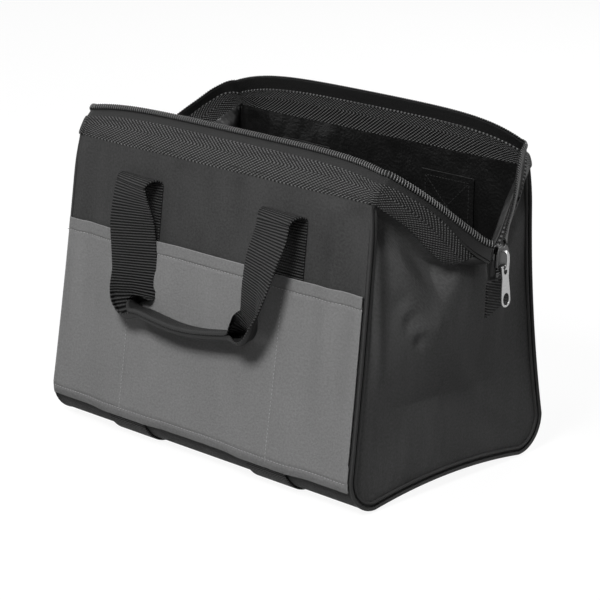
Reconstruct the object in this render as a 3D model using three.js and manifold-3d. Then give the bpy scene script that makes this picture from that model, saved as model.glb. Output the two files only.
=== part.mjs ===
// Zippered tool bag: a wide fabric bag whose zip runs along both walls and dips over both ends.
// Millimetres. X runs along the bag, the front faces -Y, Z is up, the origin is at the base's centre.
import * as THREE from 'three';
import { mergeVertices } from 'three/addons/utils/BufferGeometryUtils.js';
import Module from 'manifold-3d';

const wasm = await Module();
wasm.setup();

// Bag body
const baseLength = 305;
const baseDepth = 217.2;
const endTaper = 5.9;
const wallTaper = 20.7;
const wallHeight = 221.6;
const bottomRadius = 26.4;
const fabricThickness = 2;
const frontBow = 1;
const rearBow = 5.5;
const endArch = 6;
const endBulge = 20;
const bulgeStart = 70;
const bulgeSpan = 0.955;
const bulgeFullness = 1.35;
const endDip = 50.6;
const foldAngle = 62;
const leanClearance = 0.9;

// Webbing
const strapThickness = 1.6;
const strapWidth = 38.1;
const strapCentre = 72;
const foldHeight = 199;
const foldRadius = 7;
const handleReach = 11.5;
const handleDrop = 94.15;

// Pocket
const pocketBottom = 20.5;
const pocketTop = 157.5;
const pocketRamp = 4.5;

// Base board, patches and piping
const boardThickness = 2.5;
const patchSize = 50;
const patchHeight = 178;
const patchThickness = 1.2;
const pipingRadius = 1.3;
const pipingInset = 0.8;

// Mouth binding and zip
const bandWidth = 20.7;
const bandOutside = 0.8;
const bandInside = 2.2;
const tapeThickness = 0.8;
const coilWidth = 5;
const coilThickness = 2.8;
const cornerGap = 3.2;
const frontBandLean = 27;
const frontTapeLean = 52;
const rearBandLean = 15;
const rearTapeLean = 20;
const tapeShowing = 6.5;
const rearCrest = 2;

// Zip end, slider and pull
const tailOut = 43.4;
const chainWidth = 7.8;
const chainTop = 175.6;
const chainTopWithoutSlider = 184;
const chainBottom = 166;
const stopHeight = 2;
const stopThickness = 4.2;
const stopThicknessWithoutSlider = 5.2;
const tailHalfWidth = 10.5;
const tailTopHalfWidth = 12.5;
const tailTop = 176.5;
const tailMargin = 1.6;
const sliderTop = 186;
const sliderLength = 16;
const sliderWidth = 12;
const sliderCorner = 0.8;
const sliderShoulder = 2;
const plateThickness = 1.1;
const wedgeLength = 6;
const wedgeWidth = 3;
const flangeHeight = 9;
const flangeLip = 0.9;
const flangeStart = 1.5;
const crownReach = 4.9;
const crownWall = 1.5;
const crownWidth = 2.6;
const crownBottom = 169;
const crownTop = 183.2;
const pullLength = 31;
const pullWidth = 9.5;
const pullThickness = 1.4;
const pullEyeLength = 6;
const pullSlotWidth = 4;
const pullHoleWidth = 6.6;
const pullHoleHeight = 9;
const pullHoleMargin = 1.4;
const pullWaist = 1.2;
const pullCorner = 0.6;
const tabWidth = 25;
const tabDrop = 25;
const tabSlant = 9;

// Clearances
const gap = 0.3;
const dipGap = 0.9;
const barPlay = 0.5;
const pivotPlay = 0.1;
const tabPlay = 0.9;

// Worked out from the sizes above
const mouthLength = baseLength - 2 * endTaper;
const mouthDepth = baseDepth - 2 * wallTaper;
const tailPlane = mouthLength / 2 + tailOut;
const dipDepth = wallHeight - tailTop;
const standOff = strapThickness + gap;
const flatHalf = baseDepth / 2 - bottomRadius;
const bendLength = bottomRadius * Math.PI / 2;
const bendTop = standOff + bottomRadius;
const wallTop = {
  '-1': wallHeight - gap - bandInside * Math.sin(THREE.MathUtils.degToRad(frontBandLean)),
  1: wallHeight - gap - bandInside * Math.sin(THREE.MathUtils.degToRad(rearBandLean)),
};
const endTopGap = gap + bandOutside;
const foldRun = bottomRadius * THREE.MathUtils.degToRad(foldAngle);
const strapOffset = gap + strapThickness;
const strapEdges = [strapCentre - strapWidth / 2, strapCentre + strapWidth / 2];
const tailBottom = chainBottom - gap - stopHeight - tailMargin;

const webbing = material(0x1b1b1c, 0.85);
const blackFabric = material(0x2e2f31, 0.75);
const endFabric = material(0x27282a, 0.75);
const greyFabric = material(0x77787a, 0.8);
const zipTape = material(0x202122, 0.8);
const zipCoil = material(0x3a3a3c, 0.45);
const steel = material(0xa9a9a9, 0.35, 0.9);
const boardPlastic = material(0x18181a, 0.6);

const bag = new THREE.Group();

function material(color, roughness, metalness = 0) {
  return new THREE.MeshStandardMaterial({ color, roughness, metalness });
}

function add(name, geometry, finish) {
  const mesh = new THREE.Mesh(geometry, finish);
  mesh.name = name;
  bag.add(mesh);
  return mesh;
}

// Six times the signed volume, to turn a shell's faces outward.
function signedVolume(points, faces) {
  let sum = 0;
  for (let i = 0; i < faces.length; i += 3) {
    const [a, b, c] = [points[faces[i]], points[faces[i + 1]], points[faces[i + 2]]];
    sum += a.dot(b.clone().cross(c));
  }
  return sum;
}

// Closed solid between two grids of points that match row by row.
function solidBetween(front, back) {
  const rows = front.length;
  const columns = front[0].length;
  const points = [...front.flat(), ...back.flat()];
  const at = (layer, row, column) => (layer * rows + row) * columns + column;
  const faces = [];
  const quad = (a, b, c, d) => faces.push(a, b, c, a, c, d);
  for (let row = 0; row < rows - 1; row++) {
    for (let column = 0; column < columns - 1; column++) {
      quad(at(0, row, column), at(0, row, column + 1), at(0, row + 1, column + 1), at(0, row + 1, column));
      quad(at(1, row, column), at(1, row + 1, column), at(1, row + 1, column + 1), at(1, row, column + 1));
    }
  }
  for (let row = 0; row < rows - 1; row++) {
    quad(at(0, row, 0), at(0, row + 1, 0), at(1, row + 1, 0), at(1, row, 0));
    const edge = columns - 1;
    quad(at(0, row + 1, edge), at(0, row, edge), at(1, row, edge), at(1, row + 1, edge));
  }
  for (let column = 0; column < columns - 1; column++) {
    quad(at(0, 0, column + 1), at(0, 0, column), at(1, 0, column), at(1, 0, column + 1));
    const edge = rows - 1;
    quad(at(0, edge, column), at(0, edge, column + 1), at(1, edge, column + 1), at(1, edge, column));
  }
  if (signedVolume(points, faces) < 0) faces.reverse();
  const geometry = new THREE.BufferGeometry();
  geometry.setFromPoints(points);
  geometry.setIndex(faces);
  geometry.computeVertexNormals();
  return geometry;
}

// Even steps from one value to another.
function steps(from, to, count) {
  return Array.from({ length: count + 1 }, (_, i) => from + (to - from) * i / count);
}

// Solid sheet on a surface(u, v), thickened along its normal from one offset to the other.
function sheet(columns, rows, surface, outside, inside) {
  const reach = 1e-3;
  const normal = (u, v) => {
    const along = surface(Math.min(1, u + reach), v).sub(surface(Math.max(0, u - reach), v));
    const across = surface(u, Math.min(1, v + reach)).sub(surface(u, Math.max(0, v - reach)));
    return along.cross(across).normalize();
  };
  const layer = (offset) => steps(0, 1, rows).map((v) => steps(0, 1, columns).map((u) =>
    surface(u, v).addScaledVector(normal(u, v), offset(u, v))));
  return solidBetween(layer(outside), layer(inside));
}

// Smooth run through points given as [place, value], with level ends.
function smoothRun(points, place) {
  const last = points.length - 1;
  if (place <= points[0][0]) return points[0][1];
  if (place >= points[last][0]) return points[last][1];
  const slope = (i) => (i === 0 || i === last ? 0
    : (points[i + 1][1] - points[i - 1][1]) / (points[i + 1][0] - points[i - 1][0]));
  const i = points.findIndex(([start]) => start > place) - 1;
  const [x0, y0] = points[i];
  const [x1, y1] = points[i + 1];
  const span = x1 - x0;
  const t = (place - x0) / span;
  const keep = (1 + 2 * t) * (1 - t) ** 2;
  const leave = t * (1 - t) ** 2 * span * slope(i);
  const arrive = t * t * (t - 1) * span * slope(i + 1);
  return keep * y0 + leave + (1 - keep) * y1 + arrive;
}

// Outline of the bag across its depth

function bow(side) {
  return side < 0 ? frontBow : rearBow;
}

function halfLength(height) {
  return THREE.MathUtils.lerp(baseLength, mouthLength, height / wallHeight) / 2;
}

// Point of the outer face and its tangent, at a run measured up from the start of the bottom bend.
function outline(side, run) {
  if (run < 0) return { y: side * (flatHalf + run), z: standOff, ty: side, tz: 0 };
  if (run < bendLength) {
    const a = run / bottomRadius;
    const y = side * (flatHalf + bottomRadius * Math.sin(a));
    return { y, z: bendTop - bottomRadius * Math.cos(a), ty: side * Math.cos(a), tz: Math.sin(a) };
  }
  const rise = wallHeight - bendTop;
  const w = (run - bendLength) / rise;
  const slope = (-wallTaper - 4 * bow(side) * (1 - 2 * w)) / rise;
  const y = side * (baseDepth / 2 - wallTaper * w - 4 * bow(side) * w * (1 - w));
  const size = Math.hypot(1, slope);
  return { y, z: bendTop + w * rise, ty: side * slope / size, tz: 1 / size };
}

// Run at which the outline reaches a height above the floor.
function runAt(height) {
  if (height > bendTop) return bendLength + height - bendTop;
  return bottomRadius * Math.acos(1 - (height - standOff) / bottomRadius);
}

// Point at an offset outside the outline; past the straps, the base's ends arch up from the floor.
function skin(side, run, x, offset) {
  const { y, z, ty, tz } = outline(side, run);
  const level = Math.max(0, 1 - (y / flatHalf) ** 2);
  const past = (Math.abs(x) - strapEdges[1]) / (baseLength / 2 - strapEdges[1]);
  const arch = run < 0 ? endArch * level * THREE.MathUtils.clamp(past, 0, 1) ** 2 : 0;
  return new THREE.Vector3(x, y + offset * side * tz, z + arch - offset * side * ty);
}

// Sheet that lies on one wall between two runs; columns past the wall's end stop at it.
function wallSheet(side, columns, runs, outside, inside) {
  const place = (run, column, offset) => {
    const limit = halfLength(outline(side, run).z) - fabricThickness - gap;
    const x = THREE.MathUtils.clamp(column, -limit, limit);
    return skin(side, run, x, offset(x));
  };
  const layer = (offset) => runs.map((run) => columns.map((column) => place(run, column, offset)));
  return solidBetween(layer(outside), layer(inside));
}

// Sheet along the base, from one side's bend to the other's or on the flat alone.
function baseSheet(columns, outside, inside, bendRuns, flatRuns) {
  const half = [...bendRuns, ...flatRuns];
  const front = half.map((run) => [-1, run]);
  const rear = half.filter((run) => run > -flatHalf).reverse().map((run) => [1, run]);
  const layer = (offset) => [...front, ...rear].map(([side, run]) => columns.map((column) => {
    const limit = halfLength(outline(side, run).z) - fabricThickness - gap;
    return skin(side, run, THREE.MathUtils.clamp(column, -limit, limit), offset);
  }));
  return solidBetween(layer(outside), layer(inside));
}

// Base: fabric, stiffening board and the two straps that run under it

function strapColumns(centre) {
  return [centre - strapWidth / 2, centre + strapWidth / 2];
}

function makeBase() {
  const half = [...strapEdges, (strapEdges[1] + baseLength / 2) / 2, baseLength / 2];
  const columns = [...half.map((x) => -x).reverse(), 0, ...half];
  const bend = steps(foldRun - gap, 0, 5).slice(0, -1);
  const flat = steps(0, -flatHalf, 4);
  add('base_panel', baseSheet(columns, 0, -fabricThickness, bend, flat), blackFabric);
  const boardOutside = -fabricThickness - gap;
  const boardInside = boardOutside - boardThickness;
  add('base_board', baseSheet(columns, boardOutside, boardInside, [], flat), boardPlastic);
  for (const [name, centre] of [['left', -strapCentre], ['right', strapCentre]]) {
    add(`${name}_base_strap`, baseSheet(strapColumns(centre), strapOffset, gap, bend, [0]), webbing);
  }
}

// Walls: panel, pocket, straps and inner patches

function wallRuns(from, to, count) {
  const bend = [0.5, 1].map((share) => share * bendLength + (1 - share) * from).filter((run) => run < to);
  const start = Math.max(from, bendLength);
  return [...(from < bendLength ? [from, ...bend.slice(0, -1)] : []), ...steps(start, to, count)];
}

function makePanel(side) {
  const columns = steps(-baseLength / 2, baseLength / 2, 6);
  const runs = wallRuns(foldRun + gap, runAt(wallTop[side]), 8);
  return wallSheet(side, columns, runs, () => 0, () => -fabricThickness);
}

// How far the pocket stands off the wall: it passes over the two straps.
function pocketLift(x) {
  const past = Math.abs(Math.abs(x) - strapCentre) - strapWidth / 2 - gap;
  const share = THREE.MathUtils.clamp(1 - past / pocketRamp, 0, 1);
  return gap + share * (strapThickness + gap);
}

function makePocket(side) {
  const near = strapCentre - strapWidth / 2 - gap;
  const far = strapCentre + strapWidth / 2 + gap;
  const half = [near - pocketRamp, near, far, far + pocketRamp, baseLength / 2];
  const columns = [...half.map((x) => -x).reverse(), 0, ...half];
  const runs = wallRuns(runAt(pocketBottom), runAt(pocketTop), 6);
  const outside = (x) => pocketLift(x) + fabricThickness;
  return wallSheet(side, columns, runs, outside, pocketLift);
}

// Strap up the wall, ending in the half-round fold from which the handle hangs.
function makeStrap(side, centre) {
  const runs = wallRuns(foldRun + leanClearance, runAt(foldHeight), 8);
  const columns = strapColumns(centre);
  const layer = (offset) => [
    ...runs.map((run) => columns.map((x) => skin(side, run, x, offset))),
    ...foldRing(side, offset).map(([y, z]) => columns.map((x) => new THREE.Vector3(x, y, z))),
  ];
  return solidBetween(layer(strapOffset), layer(gap));
}

// Half turn over the front of the strap, as [y, z] points for one of its faces.
function foldRing(side, offset) {
  const wall = outline(side, runAt(foldHeight)).y;
  const centre = wall + side * (gap + strapThickness / 2 + foldRadius);
  const radius = foldRadius + gap + strapThickness / 2 - offset;
  return steps(0, Math.PI, 8).slice(1).map((a) =>
    [centre - side * radius * Math.cos(a), foldHeight + radius * Math.sin(a)]);
}

function makePatch(side, centre) {
  const columns = [centre - patchSize / 2, centre + patchSize / 2];
  const runs = steps(runAt(patchHeight - patchSize / 2), runAt(patchHeight + patchSize / 2), 3);
  const outside = -fabricThickness - gap;
  return wallSheet(side, columns, runs, () => outside, () => outside - patchThickness);
}

function makeWall(name, side) {
  add(`${name}_panel`, makePanel(side), blackFabric);
  add(`${name}_pocket`, makePocket(side), greyFabric);
  for (const [place, centre] of [['left', -strapCentre], ['right', strapCentre]]) {
    add(`${name}_${place}_strap`, makeStrap(side, centre), webbing);
    add(`${name}_${place}_patch`, makePatch(side, centre), webbing);
  }
}

// Mouth: the binding band, the zip tape and one coil along each wall

const bandToCoil = gap + tapeShowing + gap + coilWidth / 2;
const mouthReach = mouthLength / 2 - cornerGap;

// Upper edge of the band and the coil's centre, in the middle of a wall and at its corner. The corners are
// given as a distance in from the wall's top edge and a rise above it.
const mouthRows = {
  '-1': mouthProfile(frontBandLean, frontTapeLean, 0, [6.9, 13], [13.3, 19.4]),
  1: mouthProfile(rearBandLean, rearTapeLean, rearCrest, [4.3, 10.8], [9.3, 18.8]),
};

function mouthProfile(bandLean, tapeLean, crest, cornerBand, cornerCoil) {
  const lean = (from, length, angle) => {
    const a = THREE.MathUtils.degToRad(angle);
    return [from[0] - length * Math.sin(a), from[1] + length * Math.cos(a)];
  };
  const corner = ([inset, rise]) => [mouthDepth / 2 - inset, wallHeight + rise];
  const band = lean([mouthDepth / 2, wallHeight], bandWidth, bandLean);
  const coil = lean(band, bandToCoil, tapeLean);
  return { band, coil, crest, cornerBand: corner(cornerBand), cornerCoil: corner(cornerCoil) };
}

// Sag of the mouth towards the corners, as a share.
function cornerShare(x) {
  return Math.abs(x / mouthReach) ** 5;
}

function mouthPoint(side, x, row) {
  const rows = mouthRows[side];
  if (row === 'lower') return new THREE.Vector3(x, side * mouthDepth / 2, wallHeight);
  const [middle, corner] = row === 'band' ? [rows.band, rows.cornerBand] : [rows.coil, rows.cornerCoil];
  const share = cornerShare(x);
  const crest = rows.crest * (1 - (x / mouthReach) ** 2);
  const y = THREE.MathUtils.lerp(middle[0], corner[0], share);
  return new THREE.Vector3(x, side * y, THREE.MathUtils.lerp(middle[1], corner[1], share) + crest);
}

// Surfaces of the band, the tape and the coil between three lines that run side by side.
function bandSurface(lower, band) {
  return (u, v) => lower(u).lerp(band(u), v);
}

function tapeSurface(band, coil, start) {
  return (u, v) => {
    const across = coil(u).sub(band(u));
    const end = across.length() - coilWidth / 2 - gap;
    return band(u).addScaledVector(across.normalize(), THREE.MathUtils.lerp(start, end, v));
  };
}

function coilSurface(band, coil) {
  return (u, v) => {
    const centre = coil(u);
    const across = centre.clone().sub(band(u)).normalize();
    return centre.addScaledVector(across, (v - 0.5) * coilWidth);
  };
}

// Half thickness of the coil across its width: a flattened round.
function coilBulge(u, v) {
  return coilThickness / 2 * Math.max(0.35, Math.sqrt(1 - (2 * v - 1) ** 2));
}

function makeMouthStrips(name, columns, lower, band, bandForTape, coil, tapeStart) {
  const bandSheet = sheet(columns, 2, bandSurface(lower, band), () => bandOutside, () => -bandInside);
  const half = tapeThickness / 2;
  const tapeSheet = sheet(columns, 1, tapeSurface(bandForTape, coil, tapeStart), () => half, () => -half);
  const coilSheet = sheet(columns, 4, coilSurface(bandForTape, coil), coilBulge, (u, v) => -coilBulge(u, v));
  add(`${name}_band`, bandSheet, webbing);
  add(`${name}_tape`, tapeSheet, zipTape);
  add(`${name}_coil`, coilSheet, zipCoil);
}

function makeWallMouth(name, side) {
  const along = (u) => -side * (2 * u - 1) * mouthReach;
  const line = (row) => (u) => mouthPoint(side, along(u), row);
  makeMouthStrips(name, 16, line('lower'), line('band'), line('band'), line('coil'), gap);
}

// Ends: panel, piping and the dipping mouth

// Dip of the end panel's top edge, as a share of the deepest one, at shares of the way out to the corner.
const endTop = [
  [0, 1], [0.284, 0.972], [0.387, 0.87], [0.489, 0.704],
  [0.592, 0.506], [0.717, 0.304], [0.887, 0.111], [1, 0],
];

function endTopHeight(y) {
  return wallHeight - endDip * smoothRun(endTop, 2 * Math.abs(y) / mouthDepth);
}

// How far the end panel stands out past its straight corner edges.
function bulgeAt(y, z, top) {
  const across = Math.min(1, Math.abs(y) / (bulgeSpan * mouthDepth / 2)) ** bulgeFullness;
  const rise = THREE.MathUtils.clamp((z - bulgeStart) / (top - bulgeStart), 0, 1);
  return endBulge * (1 - across) * (1 - (1 - rise) ** 2);
}

function endPoint(end, y, z, top) {
  return new THREE.Vector3(end * (halfLength(z) + bulgeAt(y, z, top)), y, z);
}

function endPanelSurface(end) {
  return (u, v) => {
    const across = 2 * u - 1;
    const side = across * end < 0 ? -1 : 1;
    const edge = outline(side, v * (runAt(wallHeight) - endTopGap));
    const width = Math.abs(edge.y) - gap;
    const y = end * across * width;
    const foot = standOff + endArch * (1 - across ** 2);
    const top = endTopHeight(across * mouthDepth / 2) - endTopGap;
    const z = THREE.MathUtils.lerp(foot, top, (edge.z - standOff) / (wallHeight - standOff));
    return endPoint(end, y, z, top);
  };
}

function makePiping(end) {
  const wallPath = (side) => steps(runAt(wallHeight) - endTopGap, 0, 12).map((run) => [side, run]);
  const basePath = steps(0, -flatHalf, 4).slice(1);
  const path = [
    ...wallPath(-1), ...basePath.map((run) => [-1, run]),
    ...basePath.slice(0, -1).reverse().map((run) => [1, run]), ...wallPath(1).reverse(),
  ];
  const points = path.map(([side, run]) => {
    const x = halfLength(outline(side, run).z) + pipingRadius + gap;
    return skin(side, run, x, -pipingInset).setX(end * x);
  });
  const section = new THREE.Shape();
  section.absarc(0, 0, pipingRadius, 0, 2 * Math.PI);
  const extrudePath = new THREE.CatmullRomCurve3(points);
  const sweep = { extrudePath, steps: 46, curveSegments: 3, bevelEnabled: false };
  return new THREE.ExtrudeGeometry(section, sweep);
}

// Points along a quarter of the dipping mouth, from near a corner to the zip's end: the band's upper edge,
// the end of the tape's lower edge past the band, and the coil's centre. Each is a share of the way out to
// the tail, a share of the mouth's half depth and a share of the drop from the wall's top to the tail.
const dipBand = [
  [0.124, 0.848, -0.222], [0.309, 0.728, -0.062], [0.459, 0.603, 0.129],
  [0.551, 0.495, 0.306], [0.608, 0.387, 0.501],
];
const dipBandEnd = [[0.654, 0.273, 0.723], [0.712, 0.159, 0.958]];
const dipTapeEnd = [[0.689, 0.279, 0.71], [0.829, 0.189, 0.896], [1, 0.132, 1.004]];
const dipCoil = [
  [0.159, 0.762, -0.31], [0.355, 0.603, -0.075], [0.528, 0.466, 0.146], [0.666, 0.341, 0.355],
  [0.793, 0.205, 0.576], [0.899, 0.114, 0.723], [0.963, 0.067, 0.765],
];
const bandCorner = mouthLength / 2 + 2 * gap;
const zipCorner = mouthReach + 4 * gap;

function dipCurve(end, side, cornerX, [cornerY, cornerZ], shares) {
  const points = shares.map(([out, across, drop]) => new THREE.Vector3(
    end * (mouthLength / 2 + out * tailOut), side * across * mouthDepth / 2, wallHeight - drop * dipDepth));
  const corner = new THREE.Vector3(end * cornerX, side * cornerY, cornerZ);
  const curve = new THREE.CatmullRomCurve3([corner, ...points]);
  return (u) => curve.getPointAt(u);
}

function makeDip(name, end, side) {
  const { cornerBand, cornerCoil } = mouthRows[side];
  const lowerEnd = endTop[1][0] * mouthDepth / 2;
  const lower = (u) => {
    const y = THREE.MathUtils.lerp(mouthDepth / 2 - gap, lowerEnd, u);
    const top = endTopHeight(y);
    return endPoint(end, side * y, top, top);
  };
  const band = dipCurve(end, side, bandCorner, cornerBand, [...dipBand, ...dipBandEnd]);
  const zipBand = dipCurve(end, side, zipCorner, cornerBand, [...dipBand, ...dipTapeEnd]);
  const coil = dipCurve(end, side, zipCorner, cornerCoil, dipCoil);
  const order = end * side > 0 ? (u) => 1 - u : (u) => u;
  const ordered = (line) => (u) => line(order(u));
  makeMouthStrips(name, 14, ordered(lower), ordered(band), ordered(zipBand), ordered(coil), dipGap);
}

function makeEnd(name, end) {
  const panel = sheet(14, 12, endPanelSurface(end), () => 0, () => -fabricThickness);
  add(`${name}_end_panel`, panel, endFabric);
  add(`${name}_piping`, makePiping(end), webbing);
  makeDip(`${name}_front`, end, -1);
  makeDip(`${name}_rear`, end, 1);
}

// Zip end: closed chain, its stop, the tape's tail and the webbing tab

// Flat piece in the plane across the bag, from its outline in Y and Z and its thickness along X.
function upright(points, thickness, x) {
  const shape = new THREE.Shape(points.map(([y, z]) => new THREE.Vector2(y, z)));
  const sweep = { depth: thickness, curveSegments: 10, bevelEnabled: false };
  const geometry = new THREE.ExtrudeGeometry(shape, sweep);
  geometry.rotateZ(Math.PI / 2).rotateY(Math.PI / 2);
  return geometry.translate(x - thickness / 2, 0, 0);
}

function rectangle(halfWidth, bottom, top) {
  return [[-halfWidth, bottom], [halfWidth, bottom], [halfWidth, top], [-halfWidth, top]];
}

function makeChain(end, top) {
  const section = new THREE.Shape();
  section.absellipse(0, 0, coilThickness / 2, chainWidth / 2, 0, 2 * Math.PI);
  const sweep = { depth: top - chainBottom, curveSegments: 6, bevelEnabled: false };
  return new THREE.ExtrudeGeometry(section, sweep).translate(end * tailPlane, 0, chainBottom);
}

function makeTail(end) {
  const inner = chainWidth / 2 + gap;
  const stopBottom = chainBottom - gap - stopHeight;
  const outline = [
    [-tailHalfWidth, tailBottom], [tailHalfWidth, tailBottom], [tailTopHalfWidth, tailTop],
    [inner, tailTop], [inner, stopBottom - gap], [-inner, stopBottom - gap],
    [-inner, tailTop], [-tailTopHalfWidth, tailTop],
  ];
  return upright(outline, tapeThickness, end * tailPlane);
}

function makeStop(end, thickness) {
  const top = chainBottom - gap;
  return upright(rectangle(chainWidth / 2, top - stopHeight, top), thickness, end * tailPlane);
}

function makeTab(end) {
  const top = tailBottom - tabPlay;
  const half = tabWidth / 2;
  const outline = [[-half, top - tabDrop], [half, top - tabDrop + tabSlant], [half, top], [-half, top]];
  return upright(outline, strapThickness, end * tailPlane);
}

function makeZipEnd(name, end, top, thickness) {
  add(`${name}_closed_chain`, makeChain(end, top), zipCoil);
  add(`${name}_tail_tape`, makeTail(end), zipTape);
  add(`${name}_zip_stop`, makeStop(end, thickness), zipCoil);
  add(`${name}_tab`, makeTab(end), webbing);
}

// Slider and pull

function toManifold(geometry) {
  const plain = geometry.clone();
  plain.deleteAttribute('normal');
  plain.deleteAttribute('uv');
  const merged = mergeVertices(plain, 1e-4);
  const vertProperties = Float32Array.from(merged.attributes.position.array);
  const triVerts = Uint32Array.from(merged.index.array);
  return new wasm.Manifold(new wasm.Mesh({ numProp: 3, vertProperties, triVerts }));
}

function toGeometry(solid) {
  const { vertProperties, triVerts } = solid.getMesh();
  const geometry = new THREE.BufferGeometry();
  geometry.setAttribute('position', new THREE.BufferAttribute(Float32Array.from(vertProperties), 3));
  geometry.setIndex(Array.from(triVerts));
  geometry.computeVertexNormals();
  return geometry;
}

function joined(geometries) {
  return toGeometry(geometries.map(toManifold).reduce((whole, piece) => whole.add(piece)));
}

// Half thickness of the space between the slider's two plates.
const plateInside = coilThickness / 2 + gap;
const plateOutside = plateInside + plateThickness;

function sliderPlate(facing) {
  const half = sliderWidth / 2;
  const bottom = sliderTop - sliderLength;
  const shoulder = sliderTop - wedgeLength / 2;
  const outline = [
    [-half + sliderCorner, bottom], [half - sliderCorner, bottom],
    [half, bottom + 2 * sliderCorner], [half, shoulder],
    [half - sliderShoulder, sliderTop], [-half + sliderShoulder, sliderTop],
    [-half, shoulder], [-half, bottom + 2 * sliderCorner],
  ];
  return upright(outline, plateThickness, tailPlane + facing * (plateInside + plateThickness / 2));
}

// Side lips that turn in over the zip's edges and leave a slit for its tape.
function sliderFlange(facing, side) {
  const bottom = sliderTop - sliderLength + flangeStart;
  const depth = plateInside + plateThickness / 2 - tapeThickness / 2 - gap;
  const geometry = new THREE.BoxGeometry(depth, flangeLip, flangeHeight);
  const x = tailPlane + facing * (tapeThickness / 2 + gap + depth / 2);
  return geometry.translate(x, side * (sliderWidth - flangeLip) / 2, bottom + flangeHeight / 2);
}

function sliderWedge() {
  const widest = sliderTop - wedgeLength / 4;
  const outline = [
    [0, sliderTop - wedgeLength], [wedgeWidth / 2, widest], [0, sliderTop - gap], [-wedgeWidth / 2, widest],
  ];
  return upright(outline, 2 * plateInside + plateThickness, tailPlane);
}

// Arch that stands on the outer plate and carries the pull.
function sliderCrown() {
  const foot = tailPlane + plateOutside - plateThickness / 2;
  const reach = tailPlane + plateOutside + crownReach;
  const round = crownReach * 0.6;
  const arch = (shape, x0, x1, z0, z1, r) => {
    shape.moveTo(x0, z0).lineTo(x1 - r, z0);
    shape.absarc(x1 - r, z0 + r, r, -Math.PI / 2, 0);
    shape.absarc(x1 - r, z1 - r, r, 0, Math.PI / 2);
    return shape.lineTo(x0, z1).closePath();
  };
  const shape = arch(new THREE.Shape(), foot, reach, crownBottom, crownTop, round);
  const eyeStart = tailPlane + plateOutside;
  shape.holes.push(arch(new THREE.Path(), eyeStart, reach - crownWall, crownBottom + crownWall,
    crownTop - crownWall, round - crownWall));
  const sweep = { depth: crownWidth, curveSegments: 6, bevelEnabled: false };
  const geometry = new THREE.ExtrudeGeometry(shape, sweep);
  return geometry.rotateX(Math.PI / 2).translate(0, crownWidth / 2, 0);
}

function makeSlider() {
  const flanges = [[-1, -1], [-1, 1], [1, -1], [1, 1]].map(([facing, side]) => sliderFlange(facing, side));
  return joined([sliderPlate(-1), sliderPlate(1), sliderWedge(), sliderCrown(), ...flanges]);
}

// Pull: its eye bar turns in the crown's lower corner, and an oval hole lightens its lower end.
const pullBar = pullThickness / 2;
const barReach = Math.hypot(pullBar, pullThickness / 2) + barPlay;
const pivotX = tailPlane + plateOutside + crownReach - crownWall - barReach;
const pivotZ = crownBottom + crownWall + barReach;

function makePull() {
  const top = pivotZ + pullBar;
  const bottom = top - pullLength;
  const half = pullWidth / 2;
  const shape = new THREE.Shape();
  shape.moveTo(-half, bottom + half).absarc(0, bottom + half, half, Math.PI, 2 * Math.PI);
  const middle = bottom + pullLength / 2;
  const waist = pivotZ - pullEyeLength - pullCorner;
  shape.lineTo(half, middle).lineTo(half - pullWaist, waist).lineTo(half - pullCorner, top);
  shape.lineTo(-half + pullCorner, top).lineTo(-half + pullWaist, waist).lineTo(-half, middle);
  shape.closePath();
  const oval = new THREE.Path();
  const ovalCentre = bottom + pullHoleMargin + pullHoleHeight / 2;
  oval.absellipse(0, ovalCentre, pullHoleWidth / 2, pullHoleHeight / 2, 0, 2 * Math.PI);
  const slot = new THREE.Path(rectangle(pullSlotWidth / 2, pivotZ - pullEyeLength, pivotZ - pullBar)
    .map(([y, z]) => new THREE.Vector2(y, z)));
  shape.holes.push(oval, slot);
  const sweep = { depth: pullThickness, curveSegments: 10, bevelEnabled: false };
  const geometry = new THREE.ExtrudeGeometry(shape, sweep);
  geometry.rotateZ(Math.PI / 2).rotateY(Math.PI / 2);
  return geometry.translate(pivotX - pullThickness / 2, 0, 0);
}

// Handles: one loop of webbing a side, folded in half along its grip

// Stations of the front handle, from its left fold to its right one, as shares: the centre's x of the
// straps' own, its distance out of the furthest, its drop of the deepest, the width and the thickness of
// the webbing's; then the direction of the width.
const handleStations = [
  [-1, 0, 0, 1, 1, [1, 0, 0]],
  [-1, -0.035, 0.285, 1, 1, [1, 0, 0]],
  [-1, -0.07, 0.551, 1, 1, [1, 0, 0]],
  [-0.986, 0.061, 0.753, 0.971, 1.0625, [1, -0.06, 0]],
  [-0.903, 0.704, 0.869, 0.709, 1.625, [0.8, -0.45, 0.4]],
  [-0.736, 0.843, 0.937, 0.525, 2.625, [0.2, -0.95, 0.1]],
  [-0.486, 0.687, 0.976, 0.499, 2.8125, [0, -1, 0]],
  [-0.111, 0.652, 1, 0.499, 2.8125, [0, -1, 0]],
  [0.333, 0.67, 0.98, 0.499, 2.8125, [0, -1, 0]],
  [0.694, 0.809, 0.927, 0.525, 2.625, [-0.2, -0.95, 0.1]],
  [0.875, 0.896, 0.848, 0.735, 1.625, [-0.75, -0.55, 0.4]],
  [0.986, 1, 0.721, 0.945, 1.125, [-1, -0.1, 0]],
  [1.014, 0.983, 0.529, 1, 1, [-1, 0, 0]],
  [1.006, 0.6, 0.264, 1, 1, [-1, 0, 0]],
  [1, 0, 0, 1, 1, [-1, 0, 0]],
];

// Pivot line of a handle: the outer edge of the folds' front ends.
function handlePivot(side) {
  const wall = outline(side, runAt(foldHeight)).y;
  return { y: wall + side * (gap + 2 * foldRadius + strapThickness + pivotPlay), z: foldHeight };
}

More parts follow.
